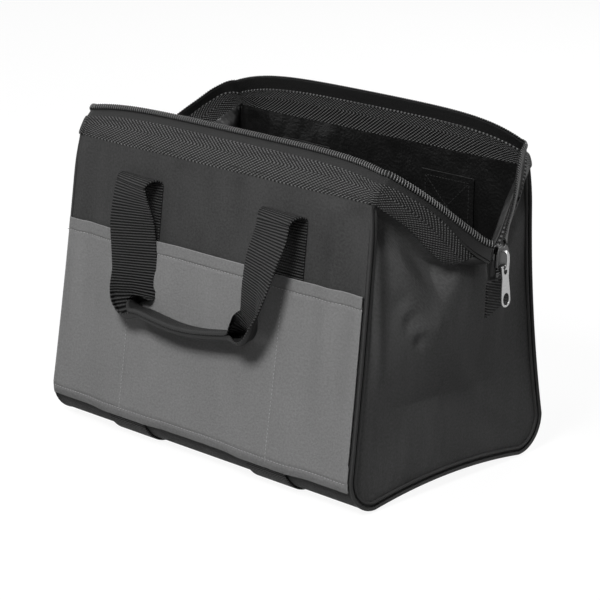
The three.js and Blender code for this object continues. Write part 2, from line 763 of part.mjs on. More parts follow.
// Centres of a handle's stations; at the folds they lie in the middle of the webbing, just inside the pivot.
function handleCentres(side) {
  const { y, z } = handlePivot(side);
  const start = -strapThickness / 2 - pivotPlay;
  return handleStations.map(([along, out, drop]) => new THREE.Vector3(
    -side * along * strapCentre, y + side * (start + out * handleReach), z - gap - drop * handleDrop));
}

function makeHandle(side) {
  const curve = new THREE.CatmullRomCurve3(handleCentres(side));
  const count = handleStations.length - 1;
  const rows = steps(0, 1, 2 * count).map((t) => {
    const place = t * count;
    const i = Math.min(count - 1, Math.floor(place));
    const [before, after] = [handleStations[i], handleStations[i + 1]];
    const mix = (a, b) => THREE.MathUtils.lerp(a, b, place - i);
    const width = strapWidth * mix(before[3], after[3]);
    const thickness = strapThickness * mix(before[4], after[4]);
    const across = new THREE.Vector3(...before[5].map((value, axis) => mix(value, after[5][axis])));
    across.set(-side * across.x, -side * across.y, across.z);
    const centre = curve.getPoint(t);
    const tangent = curve.getTangent(t);
    if (i === 0 && t === 0) tangent.set(0, 0, -1);
    if (t === 1) tangent.set(0, 0, 1);
    across.addScaledVector(tangent, -across.dot(tangent)).normalize();
    const normal = tangent.clone().cross(across);
    const edge = (share, face) => centre.clone().addScaledVector(across, share * width)
      .addScaledVector(normal, face * thickness / 2);
    const face = (facing) => [-0.5, 0, 0.5].map((share) => edge(share, facing));
    return { outer: face(1), inner: face(-1) };
  });
  return solidBetween(rows.map(({ outer }) => outer), rows.map(({ inner }) => inner));
}

makeBase();
for (const [name, side] of [['front', -1], ['rear', 1]]) {
  makeWall(name, side);
  makeWallMouth(name, side);
  add(`${name}_handle`, makeHandle(side), webbing);
}
makeEnd('right', 1);
makeEnd('left', -1);
makeZipEnd('right', 1, chainTop, stopThickness);
makeZipEnd('left', -1, chainTopWithoutSlider, stopThicknessWithoutSlider);
add('zipper_slider', makeSlider(), steel);
add('zipper_pull', makePull(), steel);

export default bag;
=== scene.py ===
"""Looks of the zippered tool bag: fabric shells, webbing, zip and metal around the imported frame.

Sizes are in millimetres here and become metres where a mesh is made. X runs along the bag, the front
faces -Y and Z is up. side is -1 at the front and 1 at the rear; end is 1 at the right and -1 at the left.
A run is the distance up the outside of a wall from the start of its bottom bend, below 0 on the base.
"""

import bpy
import math
import numpy as np
from mathutils import Matrix


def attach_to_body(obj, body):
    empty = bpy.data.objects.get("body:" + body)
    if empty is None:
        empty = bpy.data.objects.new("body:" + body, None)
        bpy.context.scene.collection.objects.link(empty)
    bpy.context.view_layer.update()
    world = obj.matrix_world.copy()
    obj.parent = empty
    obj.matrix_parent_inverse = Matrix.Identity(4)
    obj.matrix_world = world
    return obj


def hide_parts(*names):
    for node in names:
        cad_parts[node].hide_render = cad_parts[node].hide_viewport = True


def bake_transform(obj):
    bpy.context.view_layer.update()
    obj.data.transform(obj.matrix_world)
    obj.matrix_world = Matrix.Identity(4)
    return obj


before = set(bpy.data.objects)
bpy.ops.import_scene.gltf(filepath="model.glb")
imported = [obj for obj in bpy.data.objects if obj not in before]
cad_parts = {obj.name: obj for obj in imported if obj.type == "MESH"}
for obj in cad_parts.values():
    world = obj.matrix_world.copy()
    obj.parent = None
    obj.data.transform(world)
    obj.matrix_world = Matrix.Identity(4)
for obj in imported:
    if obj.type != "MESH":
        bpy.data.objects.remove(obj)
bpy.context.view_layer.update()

MM = 0.001
WALLS = (("front", -1), ("rear", 1))
ENDS = (("right", 1), ("left", -1))

# Sizes shared with the CAD part
BASE_LENGTH, BASE_DEPTH = 305.0, 217.2
MOUTH_LENGTH, MOUTH_DEPTH = 293.2, 175.8
WALL_HEIGHT, BOTTOM_RADIUS = 221.6, 26.4
STAND_OFF, FOLD_RUN = 1.9, math.radians(62) * 26.4
END_ARCH, END_BULGE, BULGE_START = 6.0, 20.0, 70.0
STRAP_WIDTH, STRAP_CENTRE, STRAP_THICKNESS = 38.1, 72.0, 1.6
STRAPS = (("left", -STRAP_CENTRE), ("right", STRAP_CENTRE))
FOLD_HEIGHT, FOLD_RADIUS = 199.0, 7.0
POCKET_BOTTOM, POCKET_TOP, POCKET_SEAM = 20.5, 157.5, 76
FLAT_HALF = BASE_DEPTH / 2 - BOTTOM_RADIUS
BEND_LENGTH = BOTTOM_RADIUS * math.pi / 2
BEND_TOP = STAND_OFF + BOTTOM_RADIUS
MOUTH_REACH = MOUTH_LENGTH / 2 - 3.2
BAND_WIDTH, BAND_TO_COIL = 20.7, 9.6
TAIL_PLANE = 190.0

# Sizes of the looks alone
CLOTH, WEB, TAPE = 1.7, 1.55, 0.7
HEM_LINE, FOOT_LINE = 148.6, 26.5
COIL_PITCH, TURN_LENGTH = 2.15, 3.0
TEETH_WIDTH, TEETH_HEIGHT, WIRE = 5.0, 2.8, 0.37


# ---- Materials: every pattern reads UVs that are millimetres on the fabric

def linear(level):
    """Grey of the screen, 0 to 255, as a linear colour."""
    c = level / 255
    value = c / 12.92 if c <= 0.04045 else ((c + 0.055) / 1.055) ** 2.4
    return (value, value, value, 1.0)


class Graph:
    """Shader nodes of a material or of the world."""

    def __init__(self, owner):
        owner.use_nodes = True
        self.nodes = owner.node_tree.nodes
        self.links = owner.node_tree.links

    def put(self, socket, value):
        if isinstance(value, bpy.types.NodeSocket):
            self.links.new(value, socket)
        else:
            socket.default_value = value

    def node(self, kind, inputs):
        made = self.nodes.new(kind)
        for key, value in inputs.items():
            self.put(made.inputs[key], value)
        return made

    def math(self, operation, a, b=0.0, clamp=False):
        made = self.node("ShaderNodeMath", {0: a, 1: b})
        made.operation = operation
        made.use_clamp = clamp
        return made.outputs[0]

    def add(self, a, b):
        return self.math("ADD", a, b)

    def times(self, a, b):
        return self.math("MULTIPLY", a, b)

    def background_rays(self):
        """1 for rays that should see the plain white background."""
        path = self.nodes.new("ShaderNodeLightPath").outputs
        mirrored = self.math("MAXIMUM", path["Is Camera Ray"], path["Is Glossy Ray"])
        return self.math("MAXIMUM", mirrored, path["Is Transmission Ray"])

    def finish_with(self, output, share, first, second):
        """Ends the graph in a mix of two shaders."""
        mix = self.node("ShaderNodeMixShader", {0: share, 1: first, 2: second})
        self.put(self.nodes[output].inputs[0], mix.outputs[0])


class Finish(Graph):
    """A procedural material under construction."""

    def __init__(self, name):
        self.material = bpy.data.materials.new(name)
        super().__init__(self.material)
        self.shader = self.nodes["Principled BSDF"]
        self.uv = self.nodes.new("ShaderNodeUVMap").outputs[0]
        parts = self.node("ShaderNodeSeparateXYZ", {"Vector": self.uv})
        self.u, self.v = parts.outputs[0], parts.outputs[1]

    def noise(self, size, detail=2.0, stretch=(1.0, 1.0)):
        """0 to 1, in blotches of about this size in millimetres."""
        scale = (stretch[0] / size, stretch[1] / size, 1.0)
        scaled = self.node("ShaderNodeVectorMath", {0: self.uv, 1: scale})
        scaled.operation = "MULTIPLY"
        made = self.node("ShaderNodeTexNoise", {"Vector": scaled.outputs[0], "Scale": 1.0, "Detail": detail})
        return made.outputs["Fac"]

    def wave(self, value, pitch):
        """0 to 1 and back along a distance."""
        turn = self.times(value, 2 * math.pi / pitch)
        return self.add(self.times(self.math("SINE", turn), 0.5), 0.5)

    def shade(self, dark, light, amount):
        """Base colour between two greys, by an amount from 0 to 1."""
        made = self.nodes.new("ShaderNodeMix")
        made.data_type = "RGBA"
        self.put(made.inputs["Factor"], amount)
        made.inputs["A"].default_value = linear(dark)
        made.inputs["B"].default_value = linear(light)
        self.put(self.shader.inputs["Base Color"], made.outputs["Result"])

    def bump(self, height, depth, strength=1.0):
        made = self.node("ShaderNodeBump", {"Height": height, "Distance": depth * MM, "Strength": strength})
        self.put(self.shader.inputs["Normal"], made.outputs[0])

    def surface(self, rough, gloss, metal=0.0):
        """The finished material."""
        for key, value in (("Roughness", rough), ("Specular IOR Level", gloss), ("Metallic", metal)):
            self.put(self.shader.inputs[key], value)
        return self.material

    def ribbed(self, height, grain_size, dark, light, gain, shift, depth, rough, gloss):
        """Material of yarns whose colour follows their height: painted highlight on the tops and painted shade,
        nearly black, between them.
        """
        uneven = self.add(height, self.times(self.noise(grain_size), 0.3))
        # Painted highlight and painted shade: colour goes from nearly black in the grooves to light on the rib tops
        self.shade(dark, light, self.math("ADD", self.times(uneven, gain), shift, clamp=True))
        self.bump(uneven, depth)
        return self.surface(rough, gloss)


def fabric(name, level, rough, blotch, mottle, folds=4.0):
    """Coated plain-weave cloth with a little mottling."""
    f = Finish(name)
    warp, weft = f.wave(f.u, 1.0), f.wave(f.v, 1.0)
    under = f.times(f.math("SUBTRACT", 1.0, warp), f.math("SUBTRACT", 1.0, weft))
    weave = f.add(f.times(warp, weft), under)
    grain = f.noise(1.7)
    cloud = f.noise(40.0, 2.0, (1.4, 0.6))
    creases = f.noise(30.0, 1.5, (1.5, 0.5))
    height = f.add(f.times(f.add(weave, f.times(grain, 0.9)), 0.26), f.times(creases, folds))
    amount = f.add(f.times(weave, 0.3), f.add(f.times(grain, 0.9), f.times(cloud, blotch)))
    f.shade(level * (1 - mottle), level * (1 + mottle), f.math("MULTIPLY", amount, 0.65, clamp=True))
    f.bump(height, 1.0)
    return f.surface(rough, 0.1)


def lining(name, level):
    """The coated back of the cloth, smooth enough to catch highlights on its creases."""
    f = Finish(name)
    grain = f.noise(2.2, 3.0)
    crease = f.noise(26.0, 2.0, (1.0, 0.45))
    f.shade(level * 0.7, level * 1.3, grain)
    f.bump(f.add(f.times(grain, 0.1), crease), 7.0, 0.8)
    return f.surface(0.35, 0.3)


def webbing_finish(name, level, rib=2.05, yarn=1.15):
    """Ribbed strap: ribs run across, U across and V along."""
    f = Finish(name)
    rows = f.math("FLOOR", f.times(f.v, 1 / rib))
    yarns = f.wave(f.add(f.u, f.times(rows, yarn / 2)), yarn)
    height = f.times(f.wave(f.v, rib), f.add(f.times(yarns, 0.45), 0.55))
    # level * 0.02 is painted shade in the grooves, level * 2.4 a painted highlight on the ribs
    return f.ribbed(height, 0.9, level * 0.02, level * 2.4, 1.5, -0.5, 1.0, 0.6, 0.12)


def herringbone_finish(name, level, pitch=3.6, spine=0.6 * BAND_WIDTH):
    """Herringbone tape: slanted ribs that turn along one spine. U runs along the tape, V across it."""
    f = Finish(name)
    from_spine = f.math("ABSOLUTE", f.add(f.v, -spine))
    ribs = f.wave(f.add(f.u, f.times(from_spine, 1.5)), pitch)
    yarns = f.wave(f.add(f.times(f.u, 0.55), f.times(from_spine, -0.83)), 1.9)
    height = f.times(ribs, f.add(f.times(yarns, 0.65), 0.35))
    # level * 0.05 is painted shade in the grooves, level * 2.9 a painted highlight on the ribs
    return f.ribbed(height, 0.8, level * 0.05, level * 2.9, 1.7, -0.45, 1.1, 0.55, 0.15)


def tape_finish(name, level):
    """Fine twill of the zip's tape, the piping and the inside of the grip."""
    f = Finish(name)
    twill = f.wave(f.add(f.u, f.v), 0.9)
    grain = f.noise(1.5)
    f.shade(level * 0.8, level * 1.2, f.add(f.times(twill, 0.4), f.times(grain, 0.6)))
    f.bump(f.add(twill, grain), 0.12)
    return f.surface(0.5, 0.15)


def plain_finish(name, dark, light, rough, size=3.0, metal=0.0, depth=0.03, gloss=0.5):
    """Moulded or cast surface with faint wear: colour, roughness and height vary together."""
    f = Finish(name)
    grain = f.noise(size, 4.0)
    f.shade(dark, light, grain)
    f.bump(grain, depth)
    return f.surface(f.add(f.times(grain, 0.1), rough), gloss, metal)


def coil_finish(name, dark, light):
    """Nylon wire of the zip; V counts its turns. The colour is a painted highlight on the crown of each turn, with
    painted shade at its sides.
    """
    f = Finish(name)
    crown = f.wave(f.v, TURN_LENGTH)
    grain = f.noise(1.5)
    # Painted highlight: colour light on each turn's crown, falling to painted shade, nearly black, at its sides
    f.shade(dark, light, f.times(f.times(crown, crown), f.add(f.times(grain, 0.5), 0.75)))
    f.bump(grain, 0.03)
    return f.surface(f.add(f.times(grain, 0.15), 0.3), 0.2)


M = {
    "front": fabric("front_cloth", 49, 0.66, 0.5, 0.7),
    # Same black cloth as the walls, painted lighter (60 against 49): painted light for the end panels, which the
    # lamps reach less
    "end": fabric("end_cloth_painted_lighter", 60, 0.62, 0.5, 0.7),
    "grey": fabric("pocket_cloth", 129, 0.8, 0.2, 0.2, 2.2),
    "hem": fabric("pocket_hem_cloth", 127, 0.8, 0.1, 0.2, 1.0),
    # Level 17 is the dark coated back, lowered further as painted shade for the inside of the bag
    "lining": lining("lining", 17),
    "webbing": webbing_finish("strap_webbing", 34),
    "grip": tape_finish("grip_webbing", 44),
    "herringbone": herringbone_finish("mouth_binding", 36),
    "tape": tape_finish("zip_tape_cloth", 32),
    # 118 is the painted highlight on the crowns of the coil's turns
    "teeth": coil_finish("zip_coil_nylon", 8, 118),
    "stop": plain_finish("zip_stop_nylon", 60, 85, 0.3, 2.0, gloss=0.22),
    "core": tape_finish("zip_coil_core", 9),
    "nickel": plain_finish("pull_nickel", 150, 190, 0.26, 1.2, 1.0, 0.02),
    "gunmetal": plain_finish("slider_gunmetal", 70, 100, 0.3, 1.2, 1.0, 0.02),
    "board": plain_finish("board_plastic", 30, 38, 0.45, 6.0),
    "black_thread": plain_finish("black_thread", 22, 34, 0.7, 0.5),
    "grey_thread": plain_finish("grey_thread", 150, 180, 0.75, 0.5),
    "piping": tape_finish("piping_cloth", 52),
}


# ---- Curves and grids of points

def smooth(t):
    t = np.clip(t, 0, 1)
    return t * t * (3 - 2 * t)


def hill(value, centre, width):
    return np.exp(-(((value - centre) / width) ** 2))


def unit(vectors):
    return vectors / (np.linalg.norm(vectors, axis=-1, keepdims=True) + 1e-12)


def points_at(x, y, z):
    """Points from coordinates, each an array or one number."""
    return np.stack(np.broadcast_arrays(x, y, z), axis=-1)


def arc(curve):
    """Distance along a line of points."""
    return np.concatenate([[0], np.cumsum(np.linalg.norm(np.diff(curve[:, :3], axis=0), axis=1))])


def hermite(s, start, end, start_slope, end_slope):
    """Smooth step between two values at a share s; the slopes are per share."""
    keep = (1 + 2 * s) * (1 - s) ** 2
    return keep * start + s * (1 - s) ** 2 * start_slope + (1 - keep) * end + s * s * (s - 1) * end_slope


def spline(points, count):
    """Evenly spaced points on a smooth curve through the given ones."""
    p = np.array(points, float)
    t = arc(p)
    slopes = np.gradient(p, t, axis=0)
    fine = np.linspace(0, t[-1], 40 * len(p))
    i = np.clip(np.searchsorted(t, fine, side="right") - 1, 0, len(t) - 2)
    h = (t[i + 1] - t[i])[:, None]
    curve = hermite((fine - t[i])[:, None] / h, p[i], p[i + 1], h * slopes[i], h * slopes[i + 1])
    run = arc(curve)
    even = np.linspace(0, run[-1], count)
    return np.stack([np.interp(even, run, curve[:, k]) for k in range(curve.shape[1])], axis=1)


def at_distance(places, run, values):
    """Vectors at places along a line, from those at its points."""
    return np.stack([np.interp(places, run, values[:, k]) for k in range(3)], axis=1)


def dense(*stops):
    """Places from a list of (from, to, count) stretches."""
    return np.unique(np.concatenate([np.linspace(a, b, n) for a, b, n in stops]).round(5))


def round_section(a, b, sides):
    t = np.arange(sides) * 2 * math.pi / sides
    return np.stack([a * np.cos(t), b * np.sin(t)], axis=1)


def frames(path, hint):
    """Across and up directions along a path; across is the hint made square to it."""
    tangent = unit(np.gradient(path, axis=0))
    hint = np.broadcast_to(hint, path.shape)
    across = unit(hint - tangent * np.sum(hint * tangent, axis=1, keepdims=True))
    return across, np.cross(tangent, across)


def grid_normals(grid, toward):
    n = unit(np.cross(np.gradient(grid, axis=1), np.gradient(grid, axis=0)))
    return -n if np.sum(n * toward) < 0 else n


def uv_grid(u, v):
    """UVs of a grid, from one value for each column and each row."""
    return np.stack(np.broadcast_arrays(u[None, :], v[:, None]), axis=-1)


def grid_uv(grid):
    """Millimetres along the columns and rows of a grid, measured along its middle lines."""
    rows, columns = grid.shape[:2]
    return uv_grid(arc(grid[rows // 2]), arc(grid[:, columns // 2]))


# ---- Meshes

def write_uvs(mesh, uvs):
    """UV layer from one pair for each vertex."""
    corners = np.empty(len(mesh.loops), np.int32)
    mesh.loops.foreach_get("vertex_index", corners)
    layer = mesh.uv_layers[0] if mesh.uv_layers else mesh.uv_layers.new(name="UVMap")
    layer.name = "UVMap"
    layer.data.foreach_set("uv", np.asarray(uvs, np.float32)[corners].ravel())


def place_mesh(name, mesh, sharp=None):
    """Object of a mesh, smooth but for the edges past the sharp angle."""
    mesh.polygons.foreach_set("use_smooth", np.ones(len(mesh.polygons), bool))
    if sharp:
        mesh.set_sharp_from_angle(angle=math.radians(sharp))
    made = bpy.data.objects.new(name, mesh)
    bpy.context.scene.collection.objects.link(made)
    return made


def piece(name, points, faces, uvs, finishes, kinds=None, normals=None, sharp=None):
    """Mesh object from points in millimetres; kinds picks a finish for each face."""
    mesh = bpy.data.meshes.new(name)
    mesh.from_pydata((points * MM).tolist(), [], faces)
    for finish in finishes:
        mesh.materials.append(M[finish])
    if kinds is not None:
        mesh.polygons.foreach_set("material_index", np.asarray(kinds, np.int32))
    write_uvs(mesh, uvs)
    mesh.update()
    made = place_mesh(name, mesh, sharp)
    if normals is not None:
        mesh.normals_split_custom_set_from_vertices(normals.tolist())
    return made


def cloth(name, grid, thickness, toward, finishes, uv=None, normals=None, rim=0.4, row_kinds=None):
    """Closed sheet whose outer face is the grid; its inner face gets the last finish."""
    if isinstance(finishes, str):
        finishes = [finishes, finishes]
    rows, columns = grid.shape[:2]
    n = grid_normals(grid, np.asarray(toward, float)) if normals is None else normals
    uv = grid_uv(grid) if uv is None else uv
    inner = grid - n * thickness
    ring = (
        [(0, c) for c in range(columns)]
        + [(r, columns - 1) for r in range(1, rows)]
        + [(rows - 1, c) for c in range(columns - 2, -1, -1)]
        + [(r, 0) for r in range(rows - 2, 0, -1)]
    )
    rr, cc = np.array(ring).T
    nr, nc = np.clip(rr, 1, rows - 2), np.clip(cc, 1, columns - 2)
    away = unit(grid[rr, cc] - grid[nr, nc])
    middle = (grid[rr, cc] + inner[rr, cc]) / 2 + away * thickness * rim
    size = rows * columns
    index = np.arange(size).reshape(rows, columns)
    quads = np.stack([index[:-1, :-1], index[:-1, 1:], index[1:, 1:], index[1:, :-1]], axis=-1).reshape(-1, 4)
    edge = index[rr, cc]
    nxt = np.roll(np.arange(len(edge)), -1)
    mid = 2 * size + np.arange(len(edge))
    first = np.stack([edge[nxt], edge, mid, mid[nxt]], axis=-1)
    second = np.stack([mid[nxt], mid, edge + size, edge[nxt] + size], axis=-1)
    faces = np.concatenate([quads, quads[:, ::-1] + size, first, second])
    a, b, c = grid[0, 0], grid[0, 1], grid[1, 1]
    if np.dot(np.cross(b - a, c - b), n[0, 0]) < 0:
        faces = faces[:, ::-1]
    points = np.concatenate([grid.reshape(-1, 3), inner.reshape(-1, 3), middle])
    uvs = np.concatenate([uv.reshape(-1, 2), uv.reshape(-1, 2), uv[rr, cc]])
    flat = n.reshape(-1, 3)
    kinds = np.zeros(len(faces), int)
    if row_kinds is not None:
        kinds[: len(quads)] = np.repeat(row_kinds, columns - 1)
    kinds[len(quads): 2 * len(quads)] = len(finishes) - 1
    shading = np.concatenate([flat, -flat, away])
    return piece(name, points, faces.tolist(), uvs, finishes, kinds, shading)


def tube(name, path, across, up, section, finish, slot, along=None):
    """Sweep of a section, as [across, up] pairs, along a path with given directions."""
    count, sides = len(path), len(section)
    across, up = np.broadcast_to(across, path.shape)[:, None], np.broadcast_to(up, path.shape)[:, None]
    points = (path[:, None] + across * section[None, :, :1] + up * section[None, :, 1:]).reshape(-1, 3)
    index = np.arange(count * sides).reshape(count, sides)
    turn = np.roll(index, -1, axis=1)
    faces = np.stack([index[:-1], turn[:-1], turn[1:], index[1:]], axis=-1).reshape(-1, 4).tolist()
    u = np.linspace(0, np.linalg.norm(np.diff(section, axis=0), axis=1).sum(), sides)
    uvs = uv_grid(u, arc(path) if along is None else along).reshape(-1, 2)
    faces += [index[0].tolist()[::-1], index[-1].tolist()]
    a, b, c = (points[k] for k in faces[0][:3])
    if np.dot(np.cross(b - a, c - b), (a + c) / 2 - (path[0] + path[1]) / 2) < 0:
        faces = [f[::-1] for f in faces]
    return piece(name, points, faces, uvs, [finish], sharp=50)


def flat_part(name, loops, thickness, x, finish, slot, bevel=0.2):
    """Part cut from sheet, standing across the bag: loops of (y, z), the first outside and the rest holes."""
    curve = bpy.data.curves.new(name, "CURVE")
    curve.dimensions = "2D"
    curve.fill_mode = "BOTH"
    curve.extrude = max(thickness / 2 - bevel, 0.001) * MM
    curve.bevel_depth = bevel * MM
    curve.bevel_resolution = 2
    curve.offset = -bevel * MM
    for loop in loops:
        line = curve.splines.new("POLY")
        line.points.add(len(loop) - 1)
        for point, (y, z) in zip(line.points, loop):
            point.co = (y * MM, z * MM, 0, 1)
        line.use_cyclic_u = True
    drawn = bpy.data.objects.new(name + "_drawn", curve)
    bpy.context.scene.collection.objects.link(drawn)
    bpy.context.view_layer.update()
    mesh = bpy.data.meshes.new_from_object(drawn.evaluated_get(bpy.context.evaluated_depsgraph_get()))
    bpy.data.objects.remove(drawn)
    mesh.transform(Matrix(((0, 0, 1, x * MM), (1, 0, 0, 0), (0, 1, 0, 0), (0, 0, 0, 1))))
    mesh.materials.clear()
    mesh.materials.append(M[finish])
    write_uvs(mesh, np.array([v.co for v in mesh.vertices])[:, 1:] / MM)
    return place_mesh(name, mesh, 35)


def attach(made, bodies, node=None):
    """Rides one body; given a wall and its side instead, the piece keeps its place, with its transform baked into
    the mesh.
    """
    if isinstance(bodies, str):
        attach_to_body(made, bodies)
    else:
        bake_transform(made)
    if node:
        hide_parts(node)


# ---- Stitches

def stitch_row(path, normal, length=2.1, pitch=2.9, width=0.5, height=0.3):
    """Points and faces of a row of stitches along a path on a surface with these normals."""
    run = arc(path)
    places = np.arange(pitch / 2, run[-1] - pitch / 3, pitch)
    centre = at_distance(places, run, path)
    tangent = unit(at_distance(places + 0.5, run, path) - centre)
    up = at_distance(places, run, normal)
    side = np.cross(up, tangent)
    # Places along one stitch: share of its length, of its width, and how high it stands
    stations = [(-0.5, 0.25, -0.4), (-0.33, 0.9, 0.5), (0, 1.0, 1.0), (0.33, 0.9, 0.5), (0.5, 0.25, -0.4)]
    ring = round_section(width / 2, height / 2, 6)
    shape = np.array([
        [s * length, a * w, b * w + height * (h - 0.5) * 0.4] for s, w, h in stations for a, b in ring
    ])[None]
    points = centre[:, None] + tangent[:, None] * shape[..., :1]
    points = points + side[:, None] * shape[..., 1:2] + up[:, None] * shape[..., 2:]
    one = []
    for k in range(4):
        for j in range(6):
            a, b = 6 * k + j, 6 * k + (j + 1) % 6
            one.append((a, b, b + 6, a + 6))
    faces = (np.arange(len(places))[:, None, None] * 30 + np.array(one)[None]).reshape(-1, 4)
    return points.reshape(-1, 3), faces


def stitching(name, rows, finish, body):
    """One piece from several rows of stitches."""
    starts = np.cumsum([0] + [len(p) for p, _ in rows])
    points = np.concatenate([p for p, _ in rows])
    faces = np.concatenate([f + start for (_, f), start in zip(rows, starts)])
    attach(piece(name, points, faces.tolist(), points[:, [0, 2]], [finish]), body)


# ---- Shape of the bag

def half_length(z):
    return (BASE_LENGTH + (MOUTH_LENGTH - BASE_LENGTH) * z / WALL_HEIGHT) / 2


def outline(side, run):
    """Point of the outer face across the bag and its tangent, at a run: y, z and their shares."""
    run = np.asarray(run, float)
    bow = 1.0 if side < 0 else 5.5
    a = np.clip(run / BOTTOM_RADIUS, 0, math.pi / 2)
    rise = WALL_HEIGHT - BEND_TOP
    w = (run - BEND_LENGTH) / rise
    taper = (MOUTH_DEPTH - BASE_DEPTH) / 2
    slope = (taper - 4 * bow * (1 - 2 * w)) / rise
    size = np.hypot(1, slope)
    bend = run < BEND_LENGTH
    bottom = FLAT_HALF + np.minimum(run, 0) + BOTTOM_RADIUS * np.sin(a)
    y = np.where(bend, bottom, BASE_DEPTH / 2 + taper * w - 4 * bow * w * (1 - w))
    z = np.where(bend, BEND_TOP - BOTTOM_RADIUS * np.cos(a), BEND_TOP + w * rise)
    ty = np.where(bend, np.cos(a), slope / size)
    tz = np.where(bend, np.sin(a), 1 / size)
    return side * y, z, side * ty, tz


def run_at(height):
    if height > BEND_TOP:
        return BEND_LENGTH + height - BEND_TOP
    return BOTTOM_RADIUS * math.acos(1 - (height - STAND_OFF) / BOTTOM_RADIUS)


def ripple(a, b, seed, size):
    """Soft undulation from -1 to 1 with features of about this size."""
    rng = np.random.default_rng(seed)
    total = 0
    for _ in range(7):
        angle, phase = rng.uniform(0, 2 * math.pi, 2)
        k = 2 * math.pi / (size * rng.uniform(0.7, 1.8))
        total = total + np.sin(k * (a * math.cos(angle) + b * math.sin(angle)) + phase)
    return total / 5


def wall_folds(side, x, z):
    """How far the slack fabric of a wall stands off its even shape: upright folds at chosen places along X."""
    lift = 0.55 * ripple(x, z * 0.45, 5 + side, 46)
    if side < 0:
        upper, top = smooth((z - 30) / 70), smooth((z - 160) / 30)
        lift = lift + (1.3 * hill(x, -140, 7) - 1.0 * hill(x, -127, 7)) * upper
        lift = lift + (1.9 * hill(x, 117, 8) - 1.5 * hill(x, 132, 8)) * upper
        lift = lift + 0.8 * hill(x + 0.25 * (z - 200), 118, 6) * top - 1.3 * hill(x, 22, 8) * top
        lift = lift - 1.5 * hill(x, -38, 7) * smooth((z - 165) / 30)
    else:
        lift = lift + 1.5 * hill(x + 0.12 * (z - 150), 30, 12) - 1.2 * hill(x - 0.1 * (z - 150), -60, 14)
        lift = lift + 1.4 * hill(x, -128, 9) + 1.1 * hill(x, 122, 10)
    edge = smooth((half_length(z) - np.abs(x)) / 9)
    return lift * edge * smooth((222 - z) / 12) * smooth((z - 14) / 16)


def base_arch(run, y, share):
    """How far the base's ends arch up, at a share of the way to its end."""
    level = np.clip(1 - (y / FLAT_HALF) ** 2, 0, 1)
    return np.where(np.asarray(run) < 0, END_ARCH * level * share, 0)


def wall_point(side, run, x, offset):
    """Point at an offset outside a wall or the base, with its folds; past the straps the base's ends arch up."""
    y, z, ty, tz, x = np.broadcast_arrays(*outline(side, run), x)
    straps_end = STRAP_CENTRE + STRAP_WIDTH / 2
    past = np.clip((np.abs(x) - straps_end) / (BASE_LENGTH / 2 - straps_end), 0, 1)
    stand = offset + wall_folds(side, x, z)
    return points_at(x, y + stand * side * tz, z + base_arch(run, y, past ** 2) - stand * side * ty)


def wall_grid(side, xs, runs, offset, margin=0.4):
    """Grid on a wall, rows by run and columns by x; columns past the wall's end stop at it."""
    z = outline(side, runs)[1]
    limit = half_length(z)[:, None] - margin
    x = np.clip(np.broadcast_to(xs[None, :], (len(runs), len(xs))), -limit, limit)
    stand = offset(x, z[:, None]) if callable(offset) else offset
    return wall_point(side, np.broadcast_to(runs[:, None], x.shape), x, stand)


def plane_uv(grid):
    """UVs for a wall: X along, height up."""
    v = arc(grid[:, grid.shape[1] // 2])
    return np.stack([grid[..., 0], np.broadcast_to(v[:, None], grid.shape[:2])], axis=-1)


def surface_line(side, points, stand):
    """Points on a wall at [x, height] places, and the wall's normals there."""
    x, z = np.array(points, float).T
    runs = np.array([run_at(h) for h in z])
    ty, tz = outline(side, runs)[2:]
    path = wall_point(side, runs, x, stand(x, z) if callable(stand) else stand)
    return path, points_at(0.0, side * tz, -side * ty)


# ---- Walls, pockets and straps

def pocket_stand(x, z):
    """How far the pocket's outer face stands off the wall: over the straps, at its hem and sewn lines."""
    past = np.abs(np.abs(x) - STRAP_CENTRE) - STRAP_WIDTH / 2 - 0.3
    stand = 2.3 + smooth(1 - past / 24) * 1.9
    hem = 0.45 * smooth((z - HEM_LINE + 0.4) / 1.6)
    sewn = hill(z, HEM_LINE, 1.0) + hill(z, FOOT_LINE, 1.0) + hill(np.abs(x), POCKET_SEAM, 1.1)
    belly = 0.5 * hill(z, 90, 45) * hill(np.abs(x), 0, 60)
    return stand + hem + belly - 0.35 * np.clip(sewn, 0, 1)


def make_walls():
    for name, side in WALLS:
        body = f"{name}_wall"
        toward = (0, side, 0)
        xs = np.linspace(-153, 153, 150)
        runs = dense((FOLD_RUN + 0.1, BEND_LENGTH, 12), (BEND_LENGTH, run_at(222.6), 90))
        grid = wall_grid(side, xs, runs, 0.0)
        uv = plane_uv(grid)
        panel = cloth(f"{name}_wall_cloth", grid, CLOTH, toward, ["front", "lining"], uv)
        attach(panel, body, f"{name}_panel")

        heights = dense((POCKET_BOTTOM, 30, 14), (30, 145, 56), (145, POCKET_TOP, 20))
        runs = np.array([run_at(h) for h in heights])
        fine = dense((-153, -95, 34), (-95, -48, 44), (-48, 48, 44), (48, 95, 44), (95, 153, 34))
        grid = wall_grid(side, fine, runs, pocket_stand, 0.2)
        tall = outline(side, runs)[1]
        kinds = np.where((tall[:-1] + tall[1:]) / 2 > HEM_LINE + 0.6, 1, 0)
        pocket = cloth(
            f"{name}_pocket_cloth", grid, 1.5, toward, ["grey", "hem", "grey"], plane_uv(grid),
            row_kinds=kinds,
        )
        attach(pocket, body, f"{name}_pocket")
        make_pocket_seams(name, side, body)
        make_straps(name, side, body)


